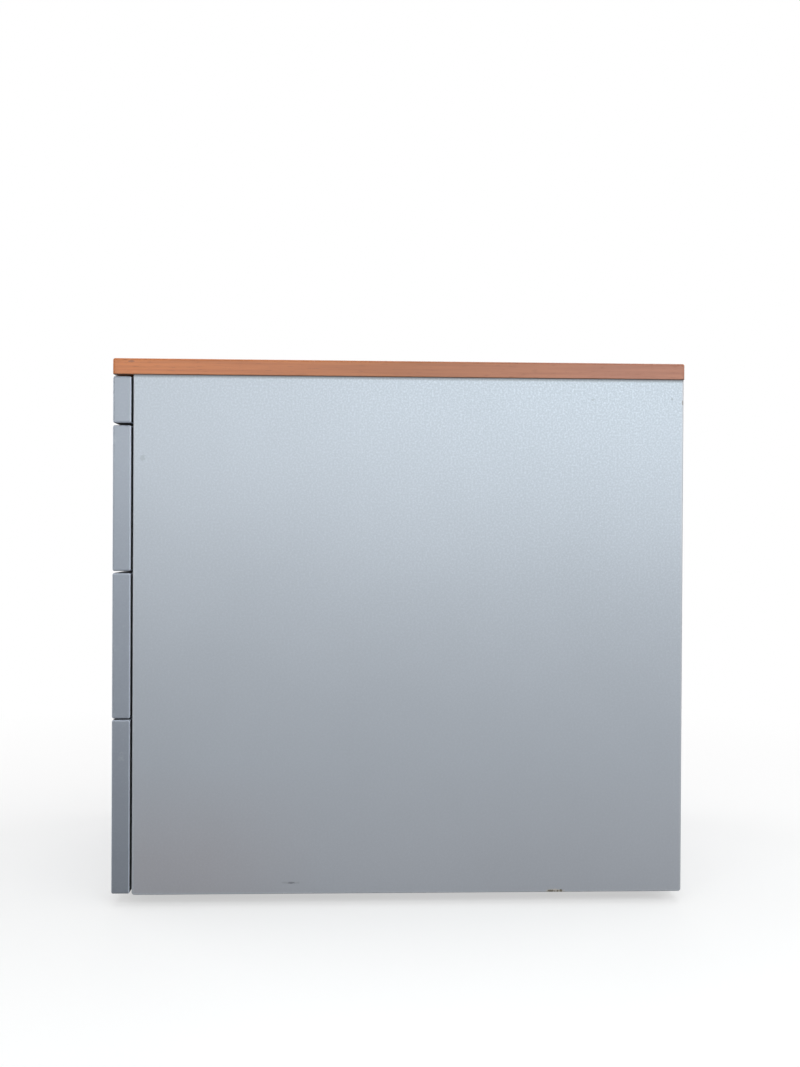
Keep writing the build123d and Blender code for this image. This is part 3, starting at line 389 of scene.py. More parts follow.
print("marks:", len(PANEL_MARKS) + len(EDGE_MARKS) + len(TOP_MARKS))

# %% [markdown]
# ## Joints and rounded edges
# Two more masks are shared. Where the top lies on the boards under it, a dark line of dust and
# painted shade fades with the distance from the joint. And the rounded edges of fronts and bands
# get painted highlights and painted shade. Their normal tells them apart: on a flat face its
# largest part is 1, on a rounding it is less. Ambient Occlusion could find such corners as well,
# but costs extra rays and knows nothing of dust.

# %% The masks of joints and rounded edges
JOINT_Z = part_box("top_edge_band")[0].z
# The colour of dust and painted shade, in the joint under the top and in the gaps between fronts.
DUST_AND_SHADE = srgb(50, 42, 39)


# A mask for the dark line of dust and painted shade at the joint under the top.
def make_joint_dust_and_shade():
    group, given = new_group("joint_dust_and_shade", {
        "Vector": "Vector", "Level": "Float", "Reach": "Float"}, {"Mask": "Float"})
    height = add_node(group, "ShaderNodeSeparateXYZ", {0: given["Vector"]}).outputs["Z"]
    away = calc(group, "ABSOLUTE", calc(group, "SUBTRACT", height, given["Level"]))
    join(group, Mask=remap(group, away, given["Reach"], 0.0))
    return group


def make_rounded_edges():
    group, given = new_group("rounded_edges", {"Normal": "Vector"}, {"Mask": "Float"})
    steep = add_node(group, "ShaderNodeSeparateXYZ", {
        0: calc_vector(group, "ABSOLUTE", given["Normal"], (0, 0, 0))}).outputs
    largest = calc(group, "MAXIMUM", steep["X"], calc(group, "MAXIMUM", steep["Y"], steep["Z"]))
    join(group, Mask=remap(group, largest, 0.97, 0.86))
    return group


JOINT_DUST_AND_SHADE_MASK, ROUNDED_EDGES = make_joint_dust_and_shade(), make_rounded_edges()


def add_joint(tree, where, colour, reach, strength):
    """Darkens a finish towards the joint under the top, with dust and painted shade."""
    line = add_group(tree, JOINT_DUST_AND_SHADE_MASK, {"Vector": where, "Level": JOINT_Z, "Reach": reach})
    return blend(tree, calc(tree, "MULTIPLY", line.outputs["Mask"], strength), colour, DUST_AND_SHADE)


print("joint under the top at", round(JOINT_Z, 4), "m")

# %% [markdown]
# ## Silver boards
# Melamine board is chipboard under a hard printed foil, with a satin shine. The foil does not look
# the same all over: towards the top and the rear its flakes carry more painted glint and it has a
# painted cooler tint, and towards the foot it is warmer and greyer. One even colour would look like
# painted plastic, so the speckle takes its values from each point's place.

# %% The silver board
FINE_RELIEF = 0.0002                        # how high the grain of a foil stands, in metres
SILVER_METALLIC = 0.1                       # a printed silver shines a little like metal
BOARD_ROUGHNESS, BAND_ROUGHNESS = 0.38, 0.34
BOARD_BUMP, BAND_BUMP = 0.08, 0.06
JOINT_REACH, JOINT_STRENGTH = 0.0035, 0.92  # the dark line of dust and painted shade on the boards under the top


def new_finish(name):
    """A new material: its tree, its surface shader and the piece's own coordinates."""
    material = bpy.data.materials.new(name + "_finish")
    material.use_nodes = True
    tree = material.node_tree
    shader = next(node for node in tree.nodes if node.bl_idname == "ShaderNodeBsdfPrincipled")
    return material, tree, shader, add_node(tree, "ShaderNodeTexCoord").outputs


def lay(tree, shader, layer, colour, roughness, bump, relief, metallic=0.0):
    """Joins a layer of finish to the surface; relief is the bump's height in metres."""
    tree.links.new(colour, shader.inputs["Base Color"])
    roughness = calc(tree, "ADD", layer.outputs["Roughness Shift"], roughness)
    tree.links.new(roughness, shader.inputs["Roughness"])
    height = {"Height": layer.outputs["Height"], "Strength": bump, "Distance": relief}
    tree.links.new(add_node(tree, "ShaderNodeBump", height).outputs[0], shader.inputs["Normal"])
    shader.inputs["Metallic"].default_value = metallic


def make_silver_melamine():
    material, tree, shader, place = new_finish("silver_melamine")
    axes = add_node(tree, "ShaderNodeSeparateXYZ", {0: place["Object"]}).outputs
    # Painted glint: more flakes show towards the top and the rear, and fewer further down.
    painted_glint_share = calc(tree, "POWER", remap(tree, axes["Z"], 0.1, 0.55), 2.0)
    painted_glint_share = calc(tree, "MULTIPLY", painted_glint_share, remap(tree, axes["Y"], -0.3, 0.2, 0.3, 0.85))
    # The back is a plainer board.
    facing = add_node(tree, "ShaderNodeSeparateXYZ", {0: place["Normal"]}).outputs["Y"]
    plain = remap(tree, calc(tree, "ABSOLUTE", facing), 0.5, 0.9, 1.0, 0.35)
    painted_glint_share = calc(tree, "MULTIPLY", painted_glint_share, plain)
    # Where the glint is painted, the foil is also painted a cooler tint. Towards the foot it is
    # warmer and greyer, most of all near the front.
    foot_tint = remap(tree, axes["Z"], 0.15, 0.05)
    foot_tint = calc(tree, "MULTIPLY", foot_tint, remap(tree, axes["Y"], -0.2, -0.08, 1.0, 0.3))
    silver = blend(tree, painted_glint_share, srgb(172, 177, 186), srgb(170, 180, 191))
    silver = blend(tree, foot_tint, silver, srgb(171, 171, 178))
    foil = add_group(tree, FOIL_SPECKLE, {
        "Vector": place["Object"], "Foil": silver, "Flake": srgb(224, 232, 242),
        "Flake Size": 0.002, "Flake Amount": calc(tree, "ADD", painted_glint_share, 0.1), "Cloud Amount": 0.02})
    colour = add_marks(tree, place["Object"], foil.outputs["Color"], PANEL_MARKS)
    # A dark line of dust and painted shade under the top.
    colour = add_joint(tree, place["Object"], colour, JOINT_REACH, JOINT_STRENGTH)
    lay(tree, shader, foil, colour, BOARD_ROUGHNESS, BOARD_BUMP, FINE_RELIEF, SILVER_METALLIC)
    return material


FINISHES = {"silver_melamine": make_silver_melamine()}
print("board finish:", ", ".join(FINISHES))

# %% [markdown]
# ## Silver drawer fronts
# The fronts wear the same silver, but the photograph shows their narrow sides a shade darker and
# smoother, because a band covers them; the band is also painted darker towards the bottom, as
# shade.
# The side comes from the piece's own normal: where it doesn't point to the front or the rear, it is
# an edge. The roundings get a painted highlight. The gaps between the fronts are dark. Black paint
# would do that too, but it would frame every open drawer, so the finish lays painted shade and dull
# dust only on the undersides and on the faces inside the gaps.

# %% The silver drawer front
# With these parts of its normal along an axis, a face starts and is sure to look that way.
FLAT_FROM, FLAT_FULL = 0.9, 0.98
# Painted shade and dust thicken between these distances from the middle, in metres.
SHADE_AND_DUST_ABOVE, SHADE_AND_DUST_BEHIND = (0.19, 0.212), (0.2, 0.205)
GAP_SHADE_AND_DUST = 0.92          # share of the silver that the painted shade and dust hide
FRONT_RUBS = 55.0        # pale rubs in a metre


def make_silver_front():
    material, tree, shader, place = new_finish("silver_front")
    axes = add_node(tree, "ShaderNodeSeparateXYZ", {0: place["Object"]}).outputs
    normal = add_node(tree, "ShaderNodeSeparateXYZ", {0: place["Normal"]}).outputs
    narrow = remap(tree, calc(tree, "ABSOLUTE", normal["Y"]), 0.75, 0.35)
    foil = add_group(tree, FOIL_SPECKLE, {
        "Vector": place["Object"], "Foil": srgb(166, 173, 186), "Flake": srgb(202, 209, 219),
        "Flake Size": 0.0022, "Flake Amount": remap(tree, narrow, 0.0, 1.0, 0.38, 0.16),
        "Cloud Amount": 0.03})
    # The band is darker than the foil, and painted darker towards the bottom, as shade.
    banded = brighten(tree, foil.outputs["Color"], remap(tree, axes["Z"], 0.03, 0.22, 0.615, 0.745))
    rub = remap(tree, noise(tree, place["Object"], FRONT_RUBS, 4.0, 0.7), 0.62, 0.74, 0.0, 0.14)
    banded = blend(tree, rub, banded, PALE_RUB)
    colour = blend(tree, narrow, foil.outputs["Color"], banded)
    # The roundings are painted brighter, as a highlight, most of all the ones at the rear.
    rounded = add_group(tree, ROUNDED_EDGES, {"Normal": place["Normal"]}).outputs["Mask"]
    painted_highlight = calc(tree, "MULTIPLY", rounded, remap(tree, normal["Y"], -0.6, 0.4, 0.2, 0.45))
    colour = brighten(tree, colour, calc(tree, "ADD", painted_highlight, 1.0))
    # Painted shade, with dull dust, darkens the undersides. Inside the gaps it also darkens the
    # upper faces towards their ends, and the backs of the fronts at the side panels.
    sideways = calc(tree, "ABSOLUTE", axes["X"])
    above = calc(tree, "MULTIPLY", remap(tree, sideways, *SHADE_AND_DUST_ABOVE, 0.0, 0.9),
                 remap(tree, normal["Z"], FLAT_FROM, FLAT_FULL))
    behind = calc(tree, "MULTIPLY", remap(tree, sideways, *SHADE_AND_DUST_BEHIND),
                  remap(tree, normal["Y"], FLAT_FROM, FLAT_FULL))
    below = remap(tree, normal["Z"], -FLAT_FROM, -FLAT_FULL)
    dust = calc(tree, "MAXIMUM", above, calc(tree, "MAXIMUM", behind, below))
    colour = blend(tree, calc(tree, "MULTIPLY", dust, GAP_SHADE_AND_DUST), colour, DUST_AND_SHADE)
    roughness = remap(tree, dust, 0.0, 1.0, BAND_ROUGHNESS, 1.0)
    lay(tree, shader, foil, colour, roughness, BAND_BUMP, FINE_RELIEF, SILVER_METALLIC)
    return material


FINISHES["silver_front"] = make_silver_front()
print("front finish has", len(FINISHES["silver_front"].node_tree.nodes), "nodes")

# %% [markdown]
# ## Silver edge bands
# Strips of silver foil are glued hot onto the cut edges of the boards and trimmed round. They are
# plainer than the boards, with pale rubs where shoes and chairs have touched them. Their rear
# roundings get painted shade and their front ones a painted highlight. Such marks could be painted
# by hand, but a mask from the normal finds every rounding by itself.

# %% The silver edge band
BAND_RUBS = 48.0


def make_silver_edge():
    material, tree, shader, place = new_finish("silver_edge")
    foil = add_group(tree, FOIL_SPECKLE, {
        "Vector": place["Object"], "Foil": srgb(180, 184, 192), "Flake": srgb(211, 214, 220),
        "Flake Size": 0.0020, "Flake Amount": 0.3, "Cloud Amount": 0.04})
    rub = remap(tree, noise(tree, place["Object"], BAND_RUBS, 5.0, 0.7), 0.6, 0.72, 0.0, 0.3)
    colour = blend(tree, rub, foil.outputs["Color"], PALE_RUB)
    colour = add_marks(tree, place["Object"], colour, EDGE_MARKS)
    # Towards the top, the band's rear rounding is painted darker, as shade, and the front one is
    # painted brighter, as a highlight.
    rounded = add_group(tree, ROUNDED_EDGES, {"Normal": place["Normal"]}).outputs["Mask"]
    facing = add_node(tree, "ShaderNodeSeparateXYZ", {0: place["Normal"]}).outputs["Y"]
    height = add_node(tree, "ShaderNodeSeparateXYZ", {0: place["Object"]}).outputs["Z"]
    painted_edge_light = calc(tree, "MULTIPLY", rounded, remap(tree, height, 0.15, 0.5, 0.1, 1.0))
    change = calc(tree, "ADD", remap(tree, facing, -0.4, -0.1, 0.25, 0.0),
                  remap(tree, facing, 0.1, 0.4, 0.0, -0.7))
    colour = brighten(tree, colour, calc(tree, "ADD", calc(tree, "MULTIPLY", painted_edge_light, change), 1.0))
    # A dark line of dust and painted shade under the top.
    colour = add_joint(tree, place["Object"], colour, JOINT_REACH, JOINT_STRENGTH)
    lay(tree, shader, foil, colour, BAND_ROUGHNESS, BAND_BUMP, FINE_RELIEF, SILVER_METALLIC)
    return material


FINISHES["silver_edge"] = make_silver_edge()
print("silver finishes:", ", ".join(FINISHES))

# %% [markdown]
# ## Wood grain
# The top is chipboard with a beech decor, with the grain along the board. Beech has fine straight
# streaks and short dark flecks. Wood can be built from growth rings in a solid, but a printed decor
# is a flat drawing of planks, so noise that is pulled out along the grain comes closer.

# %% The wood grain
STREAK_SHARE, PLANK_SHARE = 0.62, 0.38  # what fine streaks and broad planks add to the tone
PLANKS_PER_STREAK = 0.16
FLECKS_PER_STREAK = (2.2, 9.0, 2.2)     # flecks are narrower and much shorter than streaks
FLECK_ROUGHNESS = 0.1


def make_wood_grain():
    group, given = new_group("wood_grain", {
        "Vector": "Vector", "Pale": "Color", "Deep": "Color", "Fleck": "Color",
        "Streak Width": "Float", "Streak Length": "Float", "Fleck Amount": "Float"}, LAYER_GIVES)
    across = calc(group, "DIVIDE", 1.0, given["Streak Width"])
    along = calc(group, "DIVIDE", 1.0, given["Streak Length"])
    pull = add_node(group, "ShaderNodeCombineXYZ", {"X": across, "Y": along, "Z": across})
    drawn = calc_vector(group, "MULTIPLY", given["Vector"], pull.outputs[0])
    streaks = noise(group, drawn, 1.0, 5.0, 0.62)
    planks = noise(group, drawn, PLANKS_PER_STREAK, 2.0)
    tone = calc(group, "ADD", calc(group, "MULTIPLY", streaks, STREAK_SHARE),
                calc(group, "MULTIPLY", planks, PLANK_SHARE))
    short = calc_vector(group, "MULTIPLY", drawn, FLECKS_PER_STREAK)
    flecks = remap(group, noise(group, short, 1.0, 2.0), 0.6, 0.72)
    share = calc(group, "MULTIPLY", flecks, given["Fleck Amount"])
    colour = blend(group, remap(group, tone, 0.32, 0.68), given["Pale"], given["Deep"])
    colour = blend(group, share, colour, given["Fleck"])
    join(group, Color=colour, Roughness_Shift=calc(group, "MULTIPLY", flecks, FLECK_ROUGHNESS),
         Height=calc(group, "SUBTRACT", streaks, share))
    return group


WOOD_GRAIN = make_wood_grain()
print("group", WOOD_GRAIN.name, "with", len(WOOD_GRAIN.nodes), "nodes")

# %% [markdown]
# ## Beech decor and plain wood
# The top's edge band is printed to match its face, only finer. The bands at the front and the rear
# run across, so their coordinates swap before the grain is drawn; unwrapping the bands would do
# that too, but would need a map on a mesh that stays untouched. The dowels are plain turned wood
# with a short grain.

# %% Wood finishes
CROSS_BAND_Y = 0.298    # the bands at the front and the rear lie beyond this
DECOR_ROUGHNESS, EDGE_ROUGHNESS = 0.48, 0.38
# The dark line of dust and painted shade on the lower rounding of the top's edge band.
EDGE_JOINT_REACH, EDGE_JOINT_STRENGTH = 0.0013, 0.95
DOWEL_ROUGHNESS, DOWEL_BUMP, DOWEL_RELIEF = 0.6, 0.2, 0.0003


def make_beech_decor():
    material, tree, shader, place = new_finish("beech_decor")
    grain = add_group(tree, WOOD_GRAIN, {
        "Vector": place["Object"], "Pale": srgb(192, 127, 85), "Deep": srgb(164, 101, 65),
        "Fleck": srgb(126, 76, 50), "Streak Width": 0.0042, "Streak Length": 0.16,
        "Fleck Amount": 0.45})
    lay(tree, shader, grain, grain.outputs["Color"], DECOR_ROUGHNESS, BOARD_BUMP, FINE_RELIEF)
    return material


def make_beech_edge():
    material, tree, shader, place = new_finish("beech_edge")
    axes = add_node(tree, "ShaderNodeSeparateXYZ", {0: place["Object"]}).outputs
    crosswise = add_node(tree, "ShaderNodeCombineXYZ", {
        "X": axes["Y"], "Y": axes["X"], "Z": axes["Z"]}).outputs[0]
    at_the_ends = calc(tree, "GREATER_THAN", calc(tree, "ABSOLUTE", axes["Y"]), CROSS_BAND_Y)
    where = blend(tree, at_the_ends, place["Object"], crosswise)
    # The band is painted darker towards the rear, as shade, and then a little pink.
    painted_rear_shade = remap(tree, axes["Y"], -0.28, 0.0)
    pink = remap(tree, axes["Y"], 0.0, 0.23)
    pale = blend(tree, painted_rear_shade, srgb(206, 120, 54), srgb(170, 101, 50))
    pale = blend(tree, pink, pale, srgb(172, 110, 82))
    deep = blend(tree, painted_rear_shade, srgb(177, 97, 42), srgb(145, 79, 37))
    deep = blend(tree, pink, deep, srgb(145, 87, 63))
    grain = add_group(tree, WOOD_GRAIN, {
        "Vector": where, "Pale": pale, "Deep": deep, "Fleck": srgb(112, 68, 47),
        "Streak Width": 0.0026, "Streak Length": 0.11, "Fleck Amount": 0.4})
    colour = add_marks(tree, place["Object"], grain.outputs["Color"], TOP_MARKS)
    # The lower rounding is painted dark, with shade and dust, at the joint.
    colour = add_joint(tree, place["Object"], colour, EDGE_JOINT_REACH, EDGE_JOINT_STRENGTH)
    lay(tree, shader, grain, colour, EDGE_ROUGHNESS, BOARD_BUMP, FINE_RELIEF)
    return material


def make_dowel_wood():
    material, tree, shader, place = new_finish("dowel_wood")
    grain = add_group(tree, WOOD_GRAIN, {
        "Vector": place["Object"], "Pale": srgb(214, 180, 134), "Deep": srgb(190, 152, 106),
        "Fleck": srgb(150, 112, 74), "Streak Width": 0.002, "Streak Length": 0.02,
        "Fleck Amount": 0.5})
    lay(tree, shader, grain, grain.outputs["Color"], DOWEL_ROUGHNESS, DOWEL_BUMP, DOWEL_RELIEF)
    return material


woods = {
    "beech_decor": make_beech_decor(),
    "beech_edge": make_beech_edge(),
    "dowel_wood": make_dowel_wood(),
}
FINISHES.update(woods)
print("wood finishes:", ", ".join(woods))

# %% [markdown]
# ## Metals
# Rails are cold-drawn steel under zinc, the ball cages and screws are zinc too, the cup pulls are
# satin aluminium, and the lock is nickel. On all of them fine lines run the way the metal was drawn
# or brushed, and a thin bloom of age takes off some shine. An anisotropic shader would bend the
# gloss along the lines as well, but lines in roughness and bump already give that look and survive
# an export. The input Lines says how many lines there are in a metre along each axis, so a low
# number gives the direction.

# %% Metal finishes
METAL_RELIEF = 0.0001
BLOOM_PATCHES = 36.0      # patches of bloom in a metre
BLOOM_ROUGHNESS = 0.25


def make_drawn_metal():
    group, given = new_group("drawn_metal", {
        "Vector": "Vector", "Lines": "Vector", "Metal": "Color", "Bloom": "Color",
        "Bloom Amount": "Float"}, LAYER_GIVES)
    stretched = calc_vector(group, "MULTIPLY", given["Vector"], given["Lines"])
    lines = noise(group, stretched, 1.0, 3.0, 0.6)
    age = remap(group, noise(group, given["Vector"], BLOOM_PATCHES, 4.0, 0.65), 0.46, 0.72)
    age = calc(group, "MULTIPLY", age, given["Bloom Amount"])
    colour = brighten(group, given["Metal"], remap(group, lines, 0.3, 0.7, 0.9, 1.06))
    colour = blend(group, age, colour, given["Bloom"])
    shift = calc(group, "ADD", remap(group, lines, 0.3, 0.7, -0.08, 0.08),
                 calc(group, "MULTIPLY", age, BLOOM_ROUGHNESS))
    join(group, Color=colour, Roughness_Shift=shift, Height=lines)
    return group


DRAWN_METAL = make_drawn_metal()

# Each metal: lines per metre along x, y and z, its colour, its bloom, the bloom's share, roughness
# and bump.
METALS = {
    "rail_steel": ((900, 14, 900), (186, 190, 196), (150, 154, 160), 0.5, 0.36, 0.1),
    "cage_steel": ((700, 30, 700), (204, 205, 204), (168, 168, 166), 0.4, 0.28, 0.1),
    "pull_metal": ((18, 1400, 1400), (198, 200, 204), (178, 180, 186), 0.35, 0.32, 0.12),
    "lock_nickel": ((1100, 1100, 1100), (206, 202, 194), (172, 166, 156), 0.35, 0.2, 0.05),
    "zinc_screw": ((1300, 1300, 1300), (196, 198, 198), (158, 158, 154), 0.5, 0.32, 0.1),
}
for name, (lines, metal, bloom, share, roughness, bump) in METALS.items():
    material, tree, shader, place = new_finish(name)
    layer = add_group(tree, DRAWN_METAL, {
        "Vector": place["Object"], "Lines": lines, "Metal": srgb(*metal), "Bloom": srgb(*bloom),
        "Bloom Amount": share})
    lay(tree, shader, layer, layer.outputs["Color"], roughness, bump, METAL_RELIEF, metallic=1.0)
    FINISHES[name] = material
print("metal finishes:", ", ".join(METALS))

# %% [markdown]
# ## Powder coat and moulded plastic
# The trays are sheet steel under grey powder coat, which dries with the fine waves of an orange's
# skin. The pen insert and the castors are moulded plastic with an etched grain. Both are small
# round bumps, so one group serves them with another grain size. Displacement could raise them for
# real, but would take far more faces for the same look. Dust lies in blotches, most of all on the
# wheels.

# %% Coated and moulded finishes
DUST_PATCHES = 22.0       # blotches of dust in a metre
DUST_ROUGHNESS = 0.3


def make_moulded_grain():
    group, given = new_group("moulded_grain", {
        "Vector": "Vector", "Body": "Color", "Dust": "Color", "Grain Size": "Float",
        "Dust Amount": "Float"}, LAYER_GIVES)
    per_metre = calc(group, "DIVIDE", 1.0, given["Grain Size"])
    bumps = noise(group, given["Vector"], per_metre, 1.0)
    dust = remap(group, noise(group, given["Vector"], DUST_PATCHES, 5.0, 0.65), 0.44, 0.74)
    dust = calc(group, "MULTIPLY", dust, given["Dust Amount"])
    colour = brighten(group, given["Body"], remap(group, bumps, 0.25, 0.75, 0.88, 1.12))
    colour = blend(group, dust, colour, given["Dust"])
    shift = calc(group, "MULTIPLY", dust, DUST_ROUGHNESS)
    join(group, Color=colour, Roughness_Shift=shift, Height=bumps)
    return group


MOULDED_GRAIN = make_moulded_grain()

# Each finish: body colour, dust colour, grain size, the dust's share, roughness and bump.
MOULDED = {
    "tray_steel": ((150, 155, 161), (172, 174, 176), 0.0016, 0.25, 0.42, 0.25),
    "tray_plastic": ((40, 41, 44), (88, 88, 88), 0.0009, 0.2, 0.5, 0.4),
    "black_plastic": ((30, 31, 33), (84, 82, 80), 0.0009, 0.25, 0.46, 0.35),
    "wheel_nylon": ((46, 47, 50), (112, 108, 102), 0.0012, 0.5, 0.5, 0.3),
}
for name, (body, dust, grain_size, share, roughness, bump) in MOULDED.items():
    material, tree, shader, place = new_finish(name)
    layer = add_group(tree, MOULDED_GRAIN, {
        "Vector": place["Object"], "Body": srgb(*body), "Dust": srgb(*dust),
        "Grain Size": grain_size, "Dust Amount": share})
    lay(tree, shader, layer, layer.outputs["Color"], roughness, bump, FINE_RELIEF)
    FINISHES[name] = material
print("coated and moulded finishes:", ", ".join(MOULDED))

# %% [markdown]
# ## Give each piece its finish
# In the viewport each piece would be given its material by hand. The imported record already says
# which slot each node belongs to, so the finishes are dealt out by that list, and no piece is
# forgotten. Only the material slots of a node are touched, never its mesh.

# %% Deal out the finishes
for part in frame["record"]["subparts"]:
    slots = frame["nodes"][part["node"]].data.materials
    slots.clear()
    slots.append(FINISHES[part["material_slot"]])

# %% [markdown]
# ## Screw and rivet heads
# Each deep front is held by four screws through the tray's front wall, each drawer rail by three
# rivets, and each castor plate by four screws. They could be copied by hand or with an Array
# modifier, but their places follow from the trays and plates, so a Geometry Nodes tree fits best.
# Its input is a cloud of bare points that carry the direction each head faces. The tree crowns a
# short cylinder into a head, cuts a cross recess into it, sets one on every point, and makes real
# mesh of them.

# %% A tree that sets heads on points
HEAD_SIDES, HEAD_RINGS = 24, 4
HEAD_SIZES = {
    "Head Radius": "Float", "Head Height": "Float", "Crown Share": "Float",
    "Recess Width": "Float", "Recess Length": "Float", "Recess Depth": "Float",
    "Finish": "Material"}


def make_fixing_heads():
    tree = bpy.data.node_groups.new("fixing_heads", "GeometryNodeTree")
    tree.interface.new_socket("Places", in_out="INPUT", socket_type="NodeSocketGeometry")
    for label, kind in HEAD_SIZES.items():
        tree.interface.new_socket(label, in_out="INPUT", socket_type="NodeSocket" + kind)
    tree.interface.new_socket("Heads", in_out="OUTPUT", socket_type="NodeSocketGeometry")
    given = tree.nodes.new("NodeGroupInput").outputs
    blank = add_node(tree, "GeometryNodeMeshCylinder", {
        "Vertices": HEAD_SIDES, "Side Segments": HEAD_RINGS,
        "Radius": given["Head Radius"], "Depth": given["Head Height"]})

    # The cylinder narrows towards its top like part of a ball, and is lifted to stand on its base.
    here = add_node(tree, "GeometryNodeInputPosition").outputs[0]
    axes = add_node(tree, "ShaderNodeSeparateXYZ", {0: here}).outputs
    rise = calc(tree, "ADD", calc(tree, "DIVIDE", axes["Z"], given["Head Height"]), 0.5)
    kept = calc(tree, "MULTIPLY", given["Crown Share"], given["Crown Share"])
    lost = calc(tree, "SUBTRACT", 1.0, kept)
    lost = calc(tree, "MULTIPLY", lost, calc(tree, "MULTIPLY", rise, rise))
    narrow = calc(tree, "SQRT", calc(tree, "SUBTRACT", 1.0, lost))
    crowned = add_node(tree, "ShaderNodeCombineXYZ", {
        "X": calc(tree, "MULTIPLY", axes["X"], narrow),
        "Y": calc(tree, "MULTIPLY", axes["Y"], narrow),
        "Z": calc(tree, "MULTIPLY", rise, given["Head Height"])})
    head = add_node(tree, "GeometryNodeSetPosition", {
        "Geometry": blank.outputs["Mesh"], "Position": crowned.outputs[0]}).outputs[0]

    # Two crossed bars cut the recess, and a head without depth keeps its plain crown. The exact
    # solver leaves no faces without area.
    deep = calc(tree, "MULTIPLY", given["Recess Depth"], 2.0)
    bar_size = add_node(tree, "ShaderNodeCombineXYZ", {
        "X": given["Recess Width"], "Y": given["Recess Length"], "Z": deep}).outputs[0]
    bar = add_node(tree, "GeometryNodeMeshCube", {"Size": bar_size}).outputs["Mesh"]
    lift = add_node(tree, "ShaderNodeCombineXYZ", {"Z": given["Head Height"]}).outputs[0]
    cut = add_node(tree, "GeometryNodeMeshBoolean", {"Mesh 1": head},
                   operation="DIFFERENCE", solver="EXACT")
    for turn in (0.0, math.pi / 2):
        placed = add_node(tree, "GeometryNodeTransform", {
            "Geometry": bar, "Translation": lift, "Rotation": (0.0, 0.0, turn)})
        tree.links.new(placed.outputs[0], cut.inputs["Mesh 2"])
    has_recess = calc(tree, "GREATER_THAN", given["Recess Depth"], 0.0)
    shape = add_node(tree, "GeometryNodeSwitch", {
        "Switch": has_recess, "False": head, "True": cut.outputs["Mesh"]}, input_type="GEOMETRY")

    facing = add_node(tree, "GeometryNodeInputNamedAttribute", {"Name": "facing"},
                      data_type="FLOAT_VECTOR")
    turned = add_node(tree, "FunctionNodeAlignRotationToVector", {
        "Vector": facing.outputs["Attribute"]}, axis="Z")
    set_out = add_node(tree, "GeometryNodeInstanceOnPoints", {
        "Points": given["Places"], "Instance": shape.outputs[0], "Rotation": turned.outputs[0]})
    real = add_node(tree, "GeometryNodeRealizeInstances", {"Geometry": set_out.outputs[0]})
    finished = add_node(tree, "GeometryNodeSetMaterial", {
        "Geometry": real.outputs[0], "Material": given["Finish"]})
    tree.links.new(finished.outputs[0], tree.nodes.new("NodeGroupOutput").inputs["Heads"])
    return tree


FIXING_HEADS = make_fixing_heads()
print("tree", FIXING_HEADS.name, "with", len(FIXING_HEADS.nodes), "nodes")

# %% [markdown]
# ## From points to plain mesh
# A modifier works the heads out anew each time, which suits a drawing that still changes. Here each
# set of heads becomes one plain mesh that rides on its body, as a handful of screws stays where it
# was driven in. So the points get the modifier, its result is read back once, and the modifier
# goes.

# %% Set the heads
def set_heads(name, body, slot_name, places, sizes):
    """One plain mesh with a head at each place: a point, and the way that the head faces."""
    points = bpy.data.meshes.new(name)
    points.from_pydata([point for point, _ in places], [], [])
    facing = points.attributes.new("facing", "FLOAT_VECTOR", "POINT")
    for number, (_, direction) in enumerate(places):
        facing.data[number].vector = direction
    piece = bpy.data.objects.new(name, points)
    scene.collection.objects.link(piece)
    modifier = piece.modifiers.new("heads", "NODES")
    modifier.node_group = FIXING_HEADS
    values = dict(sizes, Finish=FINISHES[slot_name])
    for socket in FIXING_HEADS.interface.items_tree:
        if socket.name in values:
            modifier[socket.identifier] = values[socket.name]
    worked_out = piece.evaluated_get(bpy.context.evaluated_depsgraph_get())
    made = bpy.data.meshes.new_from_object(worked_out)
    piece.modifiers.remove(modifier)
    piece.data = made
    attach(piece, body)
    print(name, "has", len(places), "heads and", len(made.polygons), "faces")
    return piece


print("sizes to set for a head:", ", ".join(HEAD_SIZES))

# %% [markdown]
# ## Fixings of the deep drawers
# The places come from the boxes of the trays and rails, so a drawer of another height gets its
# heads in the right place. The screws stand on the inner face of the tray's front wall, and the
# rivets on the inner faces of its sides, in line with the rails behind them.

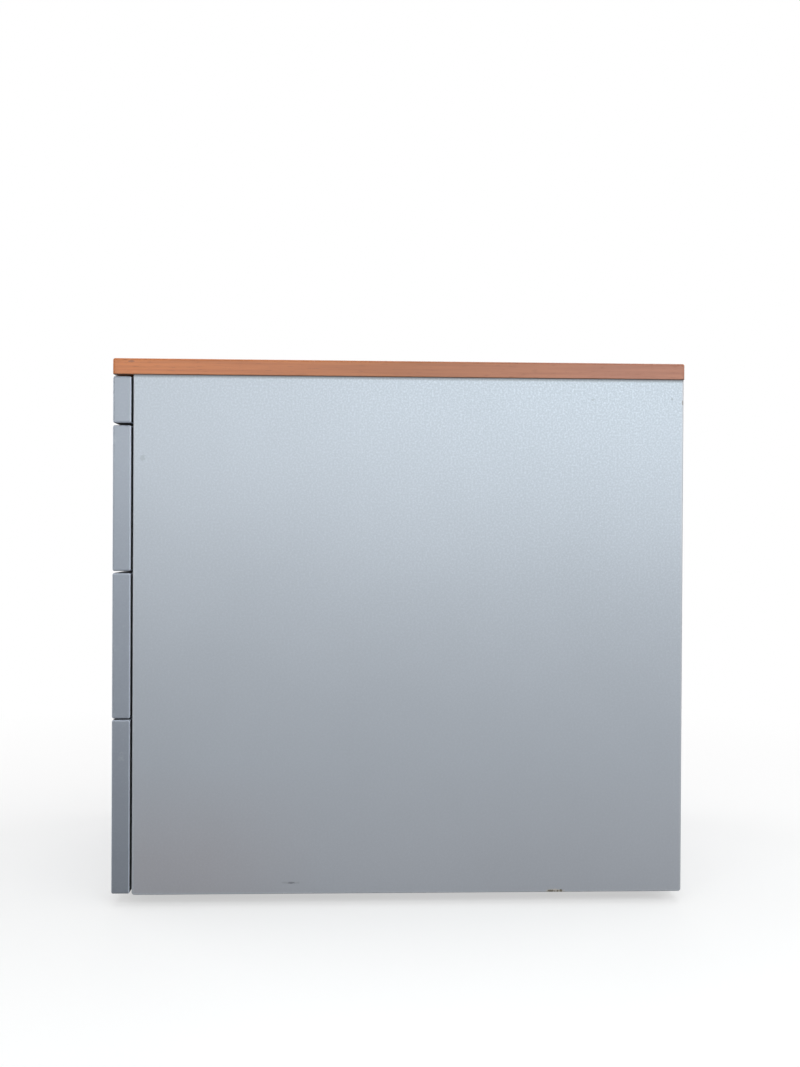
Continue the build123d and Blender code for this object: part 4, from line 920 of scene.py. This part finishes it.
# %% Screws and rivets of the deep drawers
TRAY_SHEET = 0.0012
SCREW_SIDE, SCREW_LOW, SCREW_HIGH = 0.12, 0.03, 0.085
RIVET_END = 0.045
PAN_SCREW = {"Head Radius": 0.0037, "Head Height": 0.0022, "Crown Share": 0.62,
             "Recess Width": 0.0009, "Recess Length": 0.0042, "Recess Depth": 0.0012}
RIVET = {"Head Radius": 0.0032, "Head Height": 0.0012, "Crown Share": 0.45,
         "Recess Width": 0.0009, "Recess Length": 0.0042, "Recess Depth": 0.0}

for drawer in ("upper", "centre", "lower"):
    tray_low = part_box(drawer + "_drawer_tray")[0]
    rail_low, rail_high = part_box(drawer + "_drawer_rails")
    wall = tray_low.y + TRAY_SHEET
    screws = [((side * SCREW_SIDE, wall, tray_low.z + height), (0.0, 1.0, 0.0))
              for side in (-1, 1) for height in (SCREW_LOW, SCREW_HIGH)]
    set_heads(drawer + "_front_screws", drawer + "_drawer", "zinc_screw", screws, PAN_SCREW)
    inner = -tray_low.x - TRAY_SHEET
    middle = (rail_low + rail_high) / 2
    stations = (rail_low.y + RIVET_END, middle.y, rail_high.y - RIVET_END)
    rivets = [((side * inner, station, middle.z), (-side, 0.0, 0.0))
              for side in (-1, 1) for station in stations]
    set_heads(drawer + "_rail_rivets", drawer + "_drawer", "rail_steel", rivets, RIVET)

# %% [markdown]
# ## Castor screws
# The plates of the castors are screwed to the base board from below. The imported model has plain
# round heads there; the crowned heads with a recess take their place at the same points. Both at
# once would lie inside each other, so the plain ones are hidden.

# %% Screws of the castor plates
PLATE_SIZE, PLATE_THICKNESS, SCREW_INSET = 0.040, 0.0025, 0.006
CASTOR_SCREW = dict(PAN_SCREW, **{"Head Radius": 0.0035, "Head Height": 0.0018})
plates_low, plates_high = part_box("castor_plates")
under = plates_high.z - PLATE_THICKNESS
insets = (SCREW_INSET, PLATE_SIZE - SCREW_INSET)
holes = [(x, y) for x in insets for y in insets]
origins = [(x, y) for x in (plates_low.x, plates_high.x - PLATE_SIZE)
           for y in (plates_low.y, plates_high.y - PLATE_SIZE)]
castor_places = [((x + dx, y + dy, under), (0.0, 0.0, -1.0))
                 for x, y in origins for dx, dy in holes]
castor_heads = set_heads("castor_screw_heads", "carcass", "zinc_screw", castor_places, CASTOR_SCREW)
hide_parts("castor_screws")
